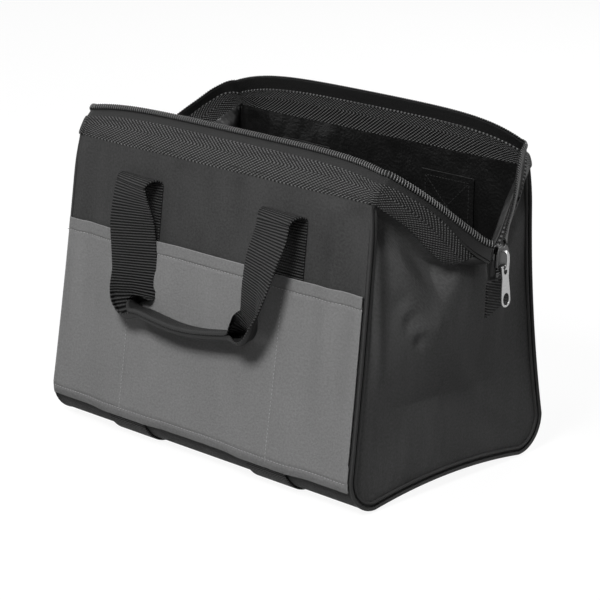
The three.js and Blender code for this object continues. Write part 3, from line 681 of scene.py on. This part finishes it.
def make_pocket_seams(name, side, body):
    """Stitches along the pocket's hem and foot, and up the lines between its compartments."""
    def line(points, **sizes):
        return stitch_row(*surface_line(side, points, lambda x, z: pocket_stand(x, z) + 0.1), **sizes)

    rows = [line([(x, z) for x in np.linspace(-151, 151, 140)]) for z in (HEM_LINE, FOOT_LINE)]
    stitching(f"{name}_hem_stitches", rows, "grey_thread", body)
    upright = np.linspace(24, 146, 60)
    rows = [line([(x, z) for z in upright], length=1.6, width=0.4) for x in (-POCKET_SEAM, POCKET_SEAM)]
    stitching(f"{name}_pocket_stitches", rows, "grey_thread", body)


def strap_columns(centre):
    """Places across a strap, closer together at its edges."""
    half, edge = STRAP_WIDTH / 2, np.array([0.0, 0.5, 1.4])
    return centre + np.concatenate([edge - half, np.linspace(-half + 3, half - 3, 9), half - edge[::-1]])


def strap_uv(grid, start=0.0):
    columns = grid.shape[1]
    return uv_grid(np.linspace(0, STRAP_WIDTH, columns), start + arc(grid[:, columns // 2]))


def make_straps(name, side, body):
    runs = dense((FOLD_RUN + 0.9, run_at(FOLD_HEIGHT), 70))
    for place, centre in STRAPS:
        grid = wall_grid(side, strap_columns(centre), runs, 1.9)
        strap = cloth(f"{name}_{place}_strap_web", grid, WEB, (0, side, 0), "webbing", strap_uv(grid))
        attach(strap, body, f"{name}_{place}_strap")
        make_fold(name, place, side, centre, grid[-1], arc(grid[:, 0])[-1])

        across = np.linspace(centre - 25, centre + 25, 22)
        grid = wall_grid(side, across, dense((run_at(153), run_at(203), 24)), -3.45)
        patch = cloth(f"{name}_{place}_patch_web", grid, 1.1, (0, -side, 0), "lining", plane_uv(grid))
        attach(patch, body, f"{name}_{place}_patch")
        make_patch_stitches(name, place, side, centre, body)


def make_patch_stitches(name, place, side, centre, body):
    """A box with a cross, inside the wall behind a strap."""
    a, low, high = 21, 157, 199
    corners = [(-a, low), (a, low), (a, high), (-a, high), (-a, low)]
    lines = list(zip(corners[:-1], corners[1:])) + [((-a, low), (a, high)), ((-a, high), (a, low))]
    rows = []
    for (x0, z0), (x1, z1) in lines:
        points = [(centre + x0 + (x1 - x0) * k, z0 + (z1 - z0) * k) for k in np.linspace(0, 1, 24)]
        path, normal = surface_line(side, points, -3.6)
        rows.append(stitch_row(path, -normal))
    stitching(f"{name}_{place}_patch_stitches", rows, "black_thread", body)


def make_fold(name, place, side, centre, last_row, start):
    """Half turn of the strap over its top, from the wall to the handle."""
    wall = float(outline(side, run_at(FOLD_HEIGHT))[0])
    radius = FOLD_RADIUS + STRAP_THICKNESS / 2
    middle = wall + side * (0.3 + radius)
    angles = np.linspace(0, math.pi, 26)[:, None]
    reach = last_row[None, :, 1] - 1.6 * side - (middle - side * radius)
    twist = smooth(angles / math.pi) * (last_row[None, :, 0] - centre)
    y = middle - side * radius * np.cos(angles) + reach * (1 - angles / math.pi) ** 2 - 0.22 * twist
    z = FOLD_HEIGHT + 0.66 * radius * np.sin(angles)
    grid = points_at(last_row[None, :, 0] - 0.025 * twist, y, z)
    out = grid_normals(grid, np.array([0, 0, 1.0]))
    fold = cloth(f"{name}_{place}_fold_web", grid, WEB, out, "webbing", strap_uv(grid, start), out)
    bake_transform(fold)


# ---- Base

def make_base():
    bend = np.linspace(FOLD_RUN - 0.1, 0, 14)[:-1]
    flat = np.linspace(0, -FLAT_HALF, 20)

    def across(front_runs, columns, *place):
        """Grid from front to rear; the rear half leaves out the middle row."""
        front = wall_grid(-1, columns, front_runs, *place)
        rear = wall_grid(1, columns, front_runs[:-1], *place)
        return np.concatenate([front, rear[::-1]])

    xs = np.linspace(-152.5, 152.5, 90)
    grid = across(np.concatenate([bend, flat]), xs, 0.0)
    base = cloth("base_cloth", grid, CLOTH, (0, 0, -1), ["front", "lining"])
    attach(base, "shell", "base_panel")
    board = cloth("base_board_plate", across(flat, xs[::2], -2.3, 2.4), 2.4, (0, 0, -1), "board", rim=0.2)
    attach(board, "shell", "base_board")
    for place, centre in STRAPS:
        grid = across(np.concatenate([bend, flat]), strap_columns(centre), 1.9)
        strap = cloth(f"{place}_base_strap_web", grid, WEB, (0, 0, -1), "webbing", strap_uv(grid))
        attach(strap, "shell", f"{place}_base_strap")


# ---- Mouth: binding, zip tape and coils

# How far the binding and the tape lean, in degrees; how much the rear edge crests in the middle; and where
# the binding's edge and the coil are at a corner, as y and z
MOUTH = {
    -1: {"lean": (27, 52), "crest": 0.0, "band": (81.0, 234.6), "coil": (74.6, 241.0)},
    1: {"lean": (15, 20), "crest": 2.0, "band": (83.6, 232.4), "coil": (78.6, 240.4)},
}
# Top edge of an end panel, as y and z
END_TOP = np.array([[0, 171], [25, 172.4], [34, 177.6], [43, 186], [52, 196], [63, 206.2], [78, 216], [87.9, 221.6]])
# Edge of the binding, edge of the tape and middle of the coil, from a corner down to the end of the zip
DIP_BAND = [
    [152, 74.5, 231.6], [160, 64, 224.4], [166.5, 53, 215.8], [170.5, 43.5, 207.8], [173, 34, 199],
    [175, 24, 189], [177.5, 14, 178.4],
]
DIP_TAPE = DIP_BAND[:5] + [[176.5, 24.5, 189.6], [182.6, 16.6, 181.2], [190, 11.6, 176.3]]
DIP_COIL = [
    [153.5, 67, 235.6], [162, 53, 225], [169.5, 41, 215], [175.5, 30, 205.6], [181, 18, 195.6],
    [185.6, 10, 189], [188.4, 5.9, 187.1],
]


def lean(start, length, degrees):
    a = math.radians(degrees)
    return np.array([start[0] - length * math.sin(a), start[1] + length * math.cos(a)])


def mouth_lines(side, x):
    """Lower edge, band's upper edge and coil centre along a wall."""
    m = MOUTH[side]
    band = lean((MOUTH_DEPTH / 2, WALL_HEIGHT), BAND_WIDTH, m["lean"][0])
    coil = lean(band, BAND_TO_COIL, m["lean"][1])
    share = np.abs(x / MOUTH_REACH) ** 5
    crest = m["crest"] * (1 - (x / MOUTH_REACH) ** 2)

    def line(middle, corner):
        y = middle[0] + (corner[0] - middle[0]) * share
        return points_at(x, side * y, middle[1] + (corner[1] - middle[1]) * share + crest)

    return points_at(x, side * MOUTH_DEPTH / 2, WALL_HEIGHT), line(band, m["band"]), line(coil, m["coil"])


def end_top(y):
    """Height of the end panel's top edge."""
    y = np.abs(np.asarray(y, float))
    t, v = END_TOP.T
    slopes = np.concatenate([[0], (v[2:] - v[:-2]) / (t[2:] - t[:-2]), [0]])
    i = np.clip(np.searchsorted(t, y, side="right") - 1, 0, len(t) - 2)
    h = t[i + 1] - t[i]
    return hermite(np.clip((y - t[i]) / h, 0, 1), v[i], v[i + 1], h * slopes[i], h * slopes[i + 1])


def end_folds(end, y, z):
    """Soft dents and ridges of an end panel, outward positive."""
    y = y * end
    lift = 0.8 * ripple(y, z, 31 + end, 46)
    along = np.clip((z - 19) / 105, 0, 1)
    ridge_y = 94 - 128 * along ** 0.8
    lift = lift + 2.2 * hill(y, ridge_y, 13) * smooth((z - 18) / 30) * smooth((150 - z) / 30)
    lift = lift + 3.0 * hill(y, -84 - 0.06 * (z - 150), 6) * smooth((z - 70) / 60)
    lift = lift - 2.6 * hill(y, -68 - 0.06 * (z - 150), 8) * smooth((z - 100) / 60)
    # Dimples: y, z, depth and width
    for dy, dz, depth, wide in ((-52, 133, 3.2, 6), (-43, 118, 2.6, 5), (-60, 148, 2.2, 7), (-34, 128, -1.8, 8)):
        lift = lift - depth * hill(y, dy, wide) * hill(z, dz, wide * 1.3)
    return lift


def end_point(end, y, z, top, folds=True):
    """Point of an end panel, whose edge under the binding is pushed in."""
    across = np.minimum(1, np.abs(y) / (0.955 * MOUTH_DEPTH / 2)) ** 1.35
    rise = np.clip((z - BULGE_START) / (top - BULGE_START), 0, 1)
    x = half_length(z) + END_BULGE * (1 - across) * (1 - (1 - rise) ** 2)
    if folds:
        below, away = top - z, np.abs(y)
        edge = smooth((BASE_DEPTH / 2 - 0.09 * z - away) / 14) * smooth((z - 6) / 20) * smooth(below / 12)
        under = smooth(below / 5) * smooth((34 - below) / 26) * smooth((away - 14) / 16) * smooth((86 - away) / 10)
        depth = np.where(y < 0, 12.0, 6.0) if end > 0 else 6.0
        x = x + end_folds(end, y, z) * edge - depth * under
    return points_at(end * x, y, z)


def dip_lines(side, end, count=130):
    """The same three lines round a corner and down to the end of the zip, with the tape's own lower edge."""
    m = MOUTH[side]
    y = np.array([84, 79, 73, 66, 58, 50, 43, 36, 30, 25.0])
    bottom = end_point(1, y, end_top(y), end_top(y), False)
    start = [[MOUTH_REACH, MOUTH_DEPTH / 2, WALL_HEIGHT], [146.0, 86.9, WALL_HEIGHT - 0.1]]
    corner = [[MOUTH_REACH, *m["band"]], [147.4, m["band"][0] - 1.2, m["band"][1] - 0.3]]
    coil_corner = [[MOUTH_REACH, *m["coil"]], [147.0, m["coil"][0] - 0.8, m["coil"][1] - 0.4]]
    lines = (start + bottom.tolist(), corner + DIP_BAND, corner + DIP_TAPE, coil_corner + DIP_COIL)
    return [spline(line, count) * np.array([end, side, 1]) for line in lines]


def strip(lower, upper, rows, puff, toward):
    """Grid between two lines, swelled along its normal."""
    t = np.linspace(0, 1, rows)[:, None, None]
    grid = lower[None] * (1 - t) + upper[None] * t
    n = grid_normals(grid, np.asarray(toward, float))
    return grid + n * puff * (1 - (2 * t - 1) ** 4), n


def coil_wire(name, centre, across, normal, bodies, node, a=TEETH_WIDTH / 2 - WIRE, b=TEETH_HEIGHT / 2 - WIRE * 0.9):
    """Coil of teeth: one wire wound round a line, flattened, with its core."""
    run = arc(centre)
    steps = int(run[-1] / COIL_PITCH) * 12
    s = np.linspace(0, run[-1], steps + 1)
    phase = np.arange(steps + 1) * 2 * math.pi / 12
    wide = unit(at_distance(s, run, across)) * (a * np.cos(phase))[:, None]
    radial = wide + unit(at_distance(s, run, normal)) * (b * np.sin(phase))[:, None]
    path = at_distance(s, run, centre) + radial
    turns = phase * TURN_LENGTH / (2 * math.pi)
    ring = round_section(WIRE, WIRE, 6)
    attach(tube(name, path, *frames(path, unit(radial)), ring, "teeth", "zip_coil", turns), bodies, node)
    core = round_section(a - 0.1, b - 0.75, 8)
    attach(tube(f"{name}_core", centre, across, normal, core, "core", "zip_tape"), bodies)


def mouth_strips(name, lower, band, tape, coil, bodies, toward, overhang=0.0):
    """Binding, tape and coil between their lines."""
    grid, n = strip(lower, band, 14, 0.5, toward)
    hang = 0.7 + overhang * (1 - np.linspace(0, 1, 14) ** 2)
    grid = grid + n * hang[:, None, None]
    uv = uv_grid(arc(band), np.linspace(0, BAND_WIDTH, 14))
    made = cloth(f"{name}_binding", grid, 2.8, toward, "herringbone", uv, rim=0.35)
    attach(made, bodies, f"{name}_band")
    across = unit(coil - tape)
    grid, n = strip(tape - across * 1.5, coil + across * 1.2, 9, 0.0, toward)
    uv = uv_grid(arc(tape), np.linspace(0, 10, 9))
    made = cloth(f"{name}_zip_cloth", grid - n * 0.2, TAPE, toward, "tape", uv, n)
    attach(made, bodies, f"{name}_tape")
    normal = unit(np.cross(unit(np.gradient(coil, axis=0)), across))
    if np.sum(normal * np.asarray(toward)) < 0:
        normal = -normal
    coil_wire(f"{name}_teeth", coil + normal * 0.75, across, normal, bodies, f"{name}_coil")


def make_mouth():
    for name, side in WALLS:
        x = np.linspace(-MOUTH_REACH, MOUTH_REACH, 240)
        lower, band, coil = mouth_lines(side, x)
        body, toward = f"{name}_wall", (0, side, 0.6)
        mouth_strips(name, lower, band, band, coil, body, toward)
        grid, n = strip(lower, band, 14, 0.5, toward)
        rows = [stitch_row(grid[k] + n[k] * 0.85, n[k], 2.3, 3.1, 0.5, 0.35) for k in (2, 11)]
        stitching(f"{name}_binding_stitches", rows, "black_thread", body)
        for end_name, end in ENDS:
            lines, out = dip_lines(side, end), (end, 0.3 * side, 0.4)
            mouth_strips(f"{end_name}_{name}", *lines, (name, side), out, 1.3)


# ---- End panels, piping, zip ends

def make_ends():
    shares = np.linspace(-1, 1, 121)
    runs = dense((0, BEND_LENGTH, 24), (BEND_LENGTH, run_at(WALL_HEIGHT) + 1.2, 96))
    foot = STAND_OFF + END_ARCH * (1 - shares ** 2)
    top = end_top(shares * MOUTH_DEPTH / 2) + 1.2
    for name, end in ENDS:
        rows = []
        for run in runs:
            (front, rear), (level, _) = (np.array([float(outline(s, run)[k]) for s in (-1, 1)]) for k in (0, 1))
            y = shares * (np.where(shares < 0, -front, rear) - 0.2)
            z = foot + (top - foot) * (level - STAND_OFF) / (WALL_HEIGHT + 1.2 - STAND_OFF)
            rows.append(end_point(end, y, z, top))
        grid = np.array(rows)
        normals = grid_normals(grid, np.array([end, 0, 0.0]))
        uv = np.stack([grid[..., 1] * end, np.broadcast_to(arc(grid[:, 60])[:, None], grid.shape[:2])], axis=-1)
        split = int(np.searchsorted(grid[:, 0, 2], 35))
        for wall_name, side in WALLS:
            columns = slice(0, 61) if side < 0 else slice(60, 121)
            for part, rows_used in (("upper", slice(split, None)), ("lower", slice(0, split + 1))):
                cut = (rows_used, columns)
                made = cloth(
                    f"{name}_end_{wall_name}_{part}_cloth", grid[cut], CLOTH, (end, 0, 0), ["end", "lining"],
                    uv[cut], normals[cut], rim=0.0,
                )
                if part == "upper":
                    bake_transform(made)
                    if side < 0:
                        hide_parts(f"{name}_end_panel")
                else:
                    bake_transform(made)
        make_piping(name, end)
        make_zip_end(name, end)


def seam_path(side, end, runs, reach, inset):
    """Line along an end seam, this far past the wall's end and in from its face."""
    y, z, ty, tz = outline(side, runs)
    x = end * (half_length(z) + reach)
    return points_at(x, y - inset * side * tz, z + base_arch(runs, y, 1) + inset * side * ty)


def make_piping(name, end):
    """Corded piping in the end seam, and the narrower edge of the seam beside it."""
    def cord(place, path, radius, body, node=None):
        across, up = frames(path, np.array([end, 0, 0.0]))
        ring = round_section(radius, radius, 10)
        attach(tube(f"{name}_{place}", path, across, up, ring, "piping", "webbing"), body, node)

    flat = dense((-FLAT_HALF, 0, 40), (0, FOLD_RUN, 14))
    runs = dense((FOLD_RUN, BEND_LENGTH, 10), (BEND_LENGTH, run_at(WALL_HEIGHT), 50))
    for label, reach, inset, radius in (("piping", 1.35, 0.8, 1.35), ("seam_edge", 0.9, 5.0, 1.2)):
        front, rear = (seam_path(side, end, flat, reach, inset) for _, side in WALLS)
        node = f"{name}_piping" if label == "piping" else None
        cord(f"base_{label}", np.concatenate([front[::-1], rear[1:]]), radius, "shell", node)
        for wall_name, side in WALLS:
            path = seam_path(side, end, runs, reach, inset)
            path[-9:, 0] -= end * np.linspace(0, 1.6, 9) ** 2
            path[:, 2] -= 1.5 * smooth((path[:, 2] - 200) / 21)
            cord(f"{wall_name}_{label}", path, radius, f"{wall_name}_wall")


def make_zip_end(name, end):
    """Closed chain, tail of the tape, stop and tab at one end of the zip."""
    x = end * TAIL_PLANE
    z = np.linspace(166, 175.6 if end > 0 else 184.0, 16)
    for wall_name, side in WALLS:
        centre = points_at(x, side * 1.75, z)
        across, normal = (np.broadcast_to(v, centre.shape) for v in ((0.0, side, 0.0), (end, 0.0, 0.0)))
        node = f"{name}_closed_chain" if side < 0 else None
        coil_wire(f"{name}_chain_{wall_name}_teeth", centre, across, normal, "shell", node, 1.7, 0.95)
    share, zz = np.meshgrid(np.linspace(-1, 1, 40), np.linspace(162.1, 175.3 if end > 0 else 185.5, 24))
    widening = 0.84 + 0.16 * smooth((zz - 163) / 13)
    half = (12.5 if end > 0 else 14.6) * widening - 0.95 * np.maximum(zz - 177, 0)
    out = -1.1 + 0.5 * np.cos(share * 12.5 / 2.6) * smooth((176 - zz) / 12) - 0.7 * smooth((zz - 175.5) / 3)
    if end > 0:
        # Behind the chain, then out between the lips of the slider
        away = np.abs(share * half)
        in_slider = smooth((8.5 - away) / 1.7) * smooth((zz - 163) / 2.5)
        out = out * (1 - in_slider) + (1.3 * smooth((away - 3.6) / 0.9) - 0.95) * in_slider
    grid = points_at(x + end * out, share * half, zz)
    attach(cloth(f"{name}_tail_cloth", grid, TAPE, (end, 0, 0), "tape"), "shell", f"{name}_tail_tape")
    clip = [(-3.9, 163.7), (3.9, 163.7), (3.9, 165.7), (-3.9, 165.7)]
    stop = flat_part(f"{name}_stop_clip", [clip], 4.0, x, "stop", "zip_coil", 0.5)
    attach(stop, "shell", f"{name}_zip_stop")
    make_tail_bridge(name, end)
    make_tab(name, end, x)


def make_tail_bridge(name, end):
    """Cloth from the middle of the panel's top edge out to the tail of the zip, and from binding to tape."""
    y = np.linspace(25, 0, 16)
    inner = end_point(1, y, end_top(y), end_top(y), False)
    reach = 186.7 if end > 0 else 188.6
    corner = [[177.2, 14.2, 177.6], [183, 13, 177], [187.6, 11.2, 175.4]]
    outer = spline(corner + [[reach, 6.8, 174.4], [reach, 0, 173.6]], 16)
    for wall_name, side in WALLS:
        grid = strip(inner, outer, 10, 0.0, (0, 0, 1))[0] * np.array([end, side, 1])
        sag = np.sin(math.pi * np.linspace(0, 1, 10)[:, None]) * np.linspace(0, 1, 16) ** 0.5
        grid[..., 2] -= 1.6 * sag
        made = cloth(f"{name}_{wall_name}_tail_bridge", grid, TAPE, (0, 0, 1), "tape")
        attach(made, (wall_name, side))
        band, tape = (line[70:] for line in dip_lines(side, end)[1:3])
        toward = (end, 0.3 * side, 0.4)
        gore = strip(band, tape, 10, 0.0, toward)[0]
        attach(cloth(f"{name}_{wall_name}_tail_gore", gore, TAPE, toward, "tape"), (wall_name, side))


def make_tab(name, end, x):
    """Webbing tab: two layers of a folded strip, cut at a slant."""
    top, width = 161.2, 24.6
    share, down = np.meshgrid(np.linspace(-0.5, 0.5, 20), np.linspace(0, 1, 26))
    for layer, shift, drop in (("face", 0.55, 0.0), ("back", -0.65, -0.9)):
        length = 25 - 9 * (share + 0.5)
        z = top + drop - down * (length + drop)
        curl = 0.6 * np.sin(down * 2.6) * (share + 0.5)
        grid = points_at(x + end * (shift + curl * 0.25), share * width, z)
        uv = np.stack([share * width, z + share * 7], axis=-1)
        made = cloth(f"{name}_tab_{layer}_web", grid, 1.0, (end, 0, 0), "webbing", uv)
        attach(made, f"{name}_tab", f"{name}_tab" if layer == "face" else None)


# ---- Slider and pull

def make_slider():
    """Two plates joined by a wedge, with lips that hold the tape, and the crown."""
    edge = [
        (-4.6, 170), (4.6, 170), (6, 172), (6, 182.5), (4.6, 185.6), (2.6, 186), (0, 185), (-2.6, 186),
        (-4.6, 185.6), (-6, 182.5), (-6, 172),
    ]
    look, sides = ("gunmetal", "slider_metal"), (("inner", -1), ("outer", 1))
    for place, facing in sides:
        plate = flat_part(f"slider_plate_{place}", [edge], 1.1, TAIL_PLANE + facing * 2.25, *look, 0.3)
        attach(plate, "slider", "zipper_slider" if facing > 0 else None)
    wedge = [(0, 180), (1.5, 184.5), (0, 185.6), (-1.5, 184.5)]
    attach(flat_part("slider_wedge", [wedge], 4.4, TAIL_PLANE, *look), "slider")
    ring = round_section(0.75, 0.45, 10)
    for wall_name, side in WALLS:
        for place, facing in sides:
            path = points_at(TAIL_PLANE + facing * 1.4, side * 5.55, np.linspace(171.5, 180.5, 8))
            lip = tube(f"slider_lip_{place}_{wall_name}", path, (1.0, 0, 0), (0, 1.0, 0), ring, *look)
            attach(lip, "slider")
    attach(make_crown(), "slider")


def make_crown():
    """Arch of bent strip on the outer plate, which carries the pull."""
    foot, reach = TAIL_PLANE + 2.6, TAIL_PLANE + 6.95
    low, high, r = 169.75, 182.45, 2.9

    def bend(z, start):
        angles = np.linspace(start, start + math.pi / 2, 8)
        return [(reach - r + r * math.cos(t), z + r * math.sin(t)) for t in angles]

    line = [(foot, low)] + bend(low + r, -math.pi / 2) + bend(high - r, 0) + [(foot, high)]
    path = spline([[a, 0, b] for a, b in line], 60)
    t = np.arange(16) * 2 * math.pi / 16
    c, s = np.cos(t), np.sin(t)
    section = np.stack([1.3 * np.sign(c) * np.abs(c) ** 0.5, 0.75 * np.sign(s) * np.abs(s) ** 0.6], axis=1)
    return tube("slider_crown", path, *frames(path, np.array([0, 1.0, 0])), section, "nickel", "slider_metal")


def make_pull():
    """Flat pull with a slot for the crown and a round hole, tilted a little in its own plane."""
    pivot_z, top = 171.99, 172.69
    bottom = top - 31

    def bow(radius_y, radius_z, centre, start, stop, count):
        return [(radius_y * math.cos(a), centre + radius_z * math.sin(a)) for a in np.linspace(start, stop, count)]

    def tilt(loop):
        c, s = math.cos(math.radians(6)), math.sin(math.radians(6))
        return [(y * c - (z - pivot_z) * s, pivot_z + y * s + (z - pivot_z) * c) for y, z in loop]

    left = [(-4.15, top - 0.6), (-3.6, 166), (-3.3, 164.4), (-3.7, 160), (-4.5, 152)]
    right = [(-y, z) for y, z in left[::-1]]
    outer = left + bow(4.75, 4.75, bottom + 4.75, math.pi, 2 * math.pi, 20) + right + [(3.5, top), (-3.5, top)]
    hole = bow(3.3, 4.5, bottom + 5.9, 0, 2 * math.pi, 29)[:-1]
    half, slot_top = 1.9, pivot_z - 0.7
    slot = bow(half, half, pivot_z - 6 + half, math.pi, 2 * math.pi, 10) + [(half, slot_top), (-half, slot_top)]
    loops = [tilt(loop) for loop in (outer, hole, slot)]
    attach(flat_part("pull_plate", loops, 1.4, 194.71, "nickel", "slider_metal", 0.32), "pull", "zipper_pull")


# ---- Handles

# Middle line of the front handle's webbing, from its left end to its right one: x, distance out from the
# pivot line, height above it, how far its inner and outer halves fold forward, and where its face looks.
HANDLE = [
    [-72, -0.9, 0.12, 0, 0, -0.22, 0.975, 0],
    [-72, -1.0, -10, 0, 0, -0.08, 1, 0],
    [-71, -1.4, -28, 0, 0, 0.2, 0.97, 0],
    [-69, -1.5, -50, 0, 0, 0.26, 0.97, 0],
    [-67.8, -1.5, -68, 0, 0.04, 0.25, 0.97, 0],
    [-67.4, -1.5, -78, 0.02, 0.25, 0.2, 0.97, 0],
    [-67, -1.4, -86.5, 0.1, 0.52, 0.15, 0.98, 0.02],
    [-65, -1.2, -91.8, 0.4, 0.76, 0.08, 0.98, 0.06],
    [-60, -1, -93.6, 0.9, 0.88, 0.03, 1, 0.12],
    [-50, -0.8, -93.6, 1, 1, 0, 1, 0.15],
    [-33, -0.6, -95.3, 1, 1, 0, 1, 0.15],
    [-14, -0.5, -96.8, 1, 1, 0, 1, 0.15],
    [5, -0.5, -96, 1, 1, 0, 1, 0.15],
    [23.5, -0.4, -93.2, 1, 1, 0, 1, 0.15],
    [42, 0, -89.6, 1, 1, 0, 1, 0.15],
    [51, 1.2, -88, 0.85, 0.98, -0.02, 1, 0.14],
    [57.5, 3, -85.2, 0.4, 0.86, -0.08, 1, 0.1],
    [62, 5.2, -79.8, 0.06, 0.72, -0.16, 0.98, 0.05],
    [64.6, 7.6, -71, 0, 0.54, -0.22, 0.96, 0.03],
    [66, 9.4, -61, 0, 0.32, -0.27, 0.96, 0.01],
    [67.3, 10.2, -51, 0, 0.18, -0.28, 0.96, 0],
    [70.3, 7, -25, 0, 0.03, -0.24, 0.97, 0],
    [72, 1.5, -9, 0, 0, -0.22, 0.975, 0],
    [72, -0.9, 0.12, 0, 0, -0.22, 0.975, 0],
]


def grip_bend(s, straight):
    """Direction of the folded webbing's section, from its middle out: back, forward, then round to the seam."""
    return math.pi / 2 * (smooth(s / 4.5) + smooth((s - straight) / 3.2))


def handle_pivot(side):
    wall = float(outline(side, run_at(FOLD_HEIGHT))[0])
    return wall + side * (0.3 + 2 * FOLD_RADIUS + STRAP_THICKNESS + 0.1), FOLD_HEIGHT - 0.15


def half_section(s, straight, fold, centre, across, normal, sign):
    """Points and face directions of one half of the webbing, out from its middle line."""
    between = np.concatenate([[0], (s[1:] + s[:-1]) / 2])
    step = np.diff(s, prepend=0.0)[None, :]
    slant = fold[:, None] * grip_bend(between, straight)[None, :]
    a = np.cumsum(np.cos(slant) * step, axis=1)[..., None] * sign
    b = np.cumsum(np.sin(slant) * step, axis=1)[..., None]
    facing = (fold[:, None] * grip_bend(s, straight)[None, :])[..., None]
    points = centre[:, None] + across[:, None] * a + normal[:, None] * b
    return points, normal[:, None] * np.cos(facing) - sign * across[:, None] * np.sin(facing)


def make_handles():
    reach = STRAP_WIDTH / 2
    s = np.concatenate([np.linspace(0, 4.5, 9)[:-1], np.linspace(4.5, 14, 6), np.linspace(14.8, reach, 9)])
    line = spline(HANDLE, 200)
    centre, folds, face = line[:, :3], np.clip(line[:, 3:5], 0, 1), line[:, 5:8]
    tangent = unit(np.gradient(centre, axis=0))
    tangent[0], tangent[-1] = (0, 0, -1), (0, 0, 1)
    normal = unit(face - tangent * np.sum(face * tangent, axis=1, keepdims=True))
    across = np.cross(tangent, normal)
    upper, upper_out = half_section(s, 15.6, folds[:, 0], centre, across, normal, 1)
    lower, lower_out = half_section(s, 14.2, folds[:, 1], centre, across, normal, -1)
    for name, side in WALLS:
        flip, pivot = np.array([-side, side, 1.0]), np.array([0, *handle_pivot(side)])
        out = unit(np.concatenate([lower_out[:, :0:-1], upper_out], axis=1) * flip)
        grid = np.concatenate([lower[:, :0:-1], upper], axis=1) * flip + pivot + out * 0.78
        uv = uv_grid(np.concatenate([-s[:0:-1], s]) + reach, arc(centre) + 40)
        made = cloth(f"{name}_handle_web", grid, WEB, out, ["webbing", "grip"], uv, out)
        attach(made, f"{name}_handle", f"{name}_handle")


# ---- Stage

def make_stage():
    """Pale floor that keeps the bag's shadow, looks white and throws little light back up."""
    mesh = bpy.data.meshes.new("floor")
    mesh.from_pydata([(-6, -6, 0), (6, -6, 0), (6, 6, 0), (-6, 6, 0)], [], [(0, 1, 2, 3)])
    floor = bpy.data.objects.new("floor", mesh)
    bpy.context.scene.collection.objects.link(floor)
    material = bpy.data.materials.new("pale_floor")
    mesh.materials.append(material)
    g = Graph(material)
    shader = g.nodes["Principled BSDF"]
    bounced = g.nodes.new("ShaderNodeLightPath").outputs["Is Diffuse Ray"]
    g.put(shader.inputs["Base Color"], g.add(g.times(bounced, -0.6), 0.8))
    g.put(shader.inputs["Roughness"], 0.9)
    glow = g.node("ShaderNodeEmission", {"Strength": 1.08})
    g.finish_with("Material Output", g.times(g.background_rays(), 0.85), shader.outputs[0], glow.outputs[0])


def make_world():
    """White where it is seen, faint where it lights."""
    world = bpy.data.worlds.new("studio")
    bpy.context.scene.world = world
    g = Graph(world)
    light = g.nodes["Background"]
    white = g.node("ShaderNodeBackground", {"Color": (1, 1, 1, 1), "Strength": 1.0})
    for socket, value in (("Color", (1, 1, 1, 1)), ("Strength", 0.04)):
        g.put(light.inputs[socket], value)
    g.finish_with("World Output", g.background_rays(), light.outputs[0], white.outputs[0])


def direction(azimuth, elevation):
    """Unit vector away from the bag; azimuth is turned from the front towards the right."""
    a, e = math.radians(azimuth), math.radians(elevation)
    return np.array([math.sin(a) * math.cos(e), -math.cos(a) * math.cos(e), math.sin(e)])


def face_bag(name, data, target, azimuth, elevation, distance, roll=0.0):
    """Object for a lamp or camera that looks at a point on the bag's middle line, this high in metres."""
    back, tilt = direction(azimuth, elevation), math.radians(roll)
    right = unit(np.cross([0, 0, 1.0], back))
    up = np.cross(back, right)
    x = right * math.cos(tilt) + up * math.sin(tilt)
    y = -right * math.sin(tilt) + up * math.cos(tilt)
    place = np.array([0, 0, target]) + back * distance
    made = bpy.data.objects.new(name, data)
    bpy.context.scene.collection.objects.link(made)
    made.matrix_world = Matrix([[x[k], y[k], back[k], place[k]] for k in range(3)] + [[0, 0, 0, 1]])
    return made


def lamp(name, azimuth, elevation, distance, size, power):
    """Soft square light."""
    data = bpy.data.lights.new(name, "AREA")
    data.shape = "SQUARE"
    data.size = size
    data.energy = power
    face_bag(name, data, 0.12, azimuth, elevation, distance)


def make_camera():
    """The photo's camera, as fitted to the bag's edges in its 600 pixels."""
    data = bpy.data.cameras.new("camera")
    bpy.context.scene.camera = face_bag("camera", data, 0.1017, 42.4, 16.4, 1.7804, 1.5)
    data.sensor_width = 36
    data.lens = 36 * 2353.1 / 600
    data.shift_x = (300 - 296.9) / 600
    data.shift_y = (304.5 - 300) / 600
    data.clip_start = 0.05
    data.clip_end = 50


make_walls()
make_base()
make_mouth()
make_ends()
make_slider()
make_pull()
make_handles()
make_stage()
make_world()
lamp("key", 20, 42, 1.5, 0.35, 20)
lamp("left", -70, 34, 2.2, 0.6, 9)
lamp("rear", 200, 38, 2.2, 0.6, 17)
lamp("right", 48, 30, 2.4, 0.4, 3)
make_camera()
bpy.context.scene.view_settings.view_transform = "Standard"
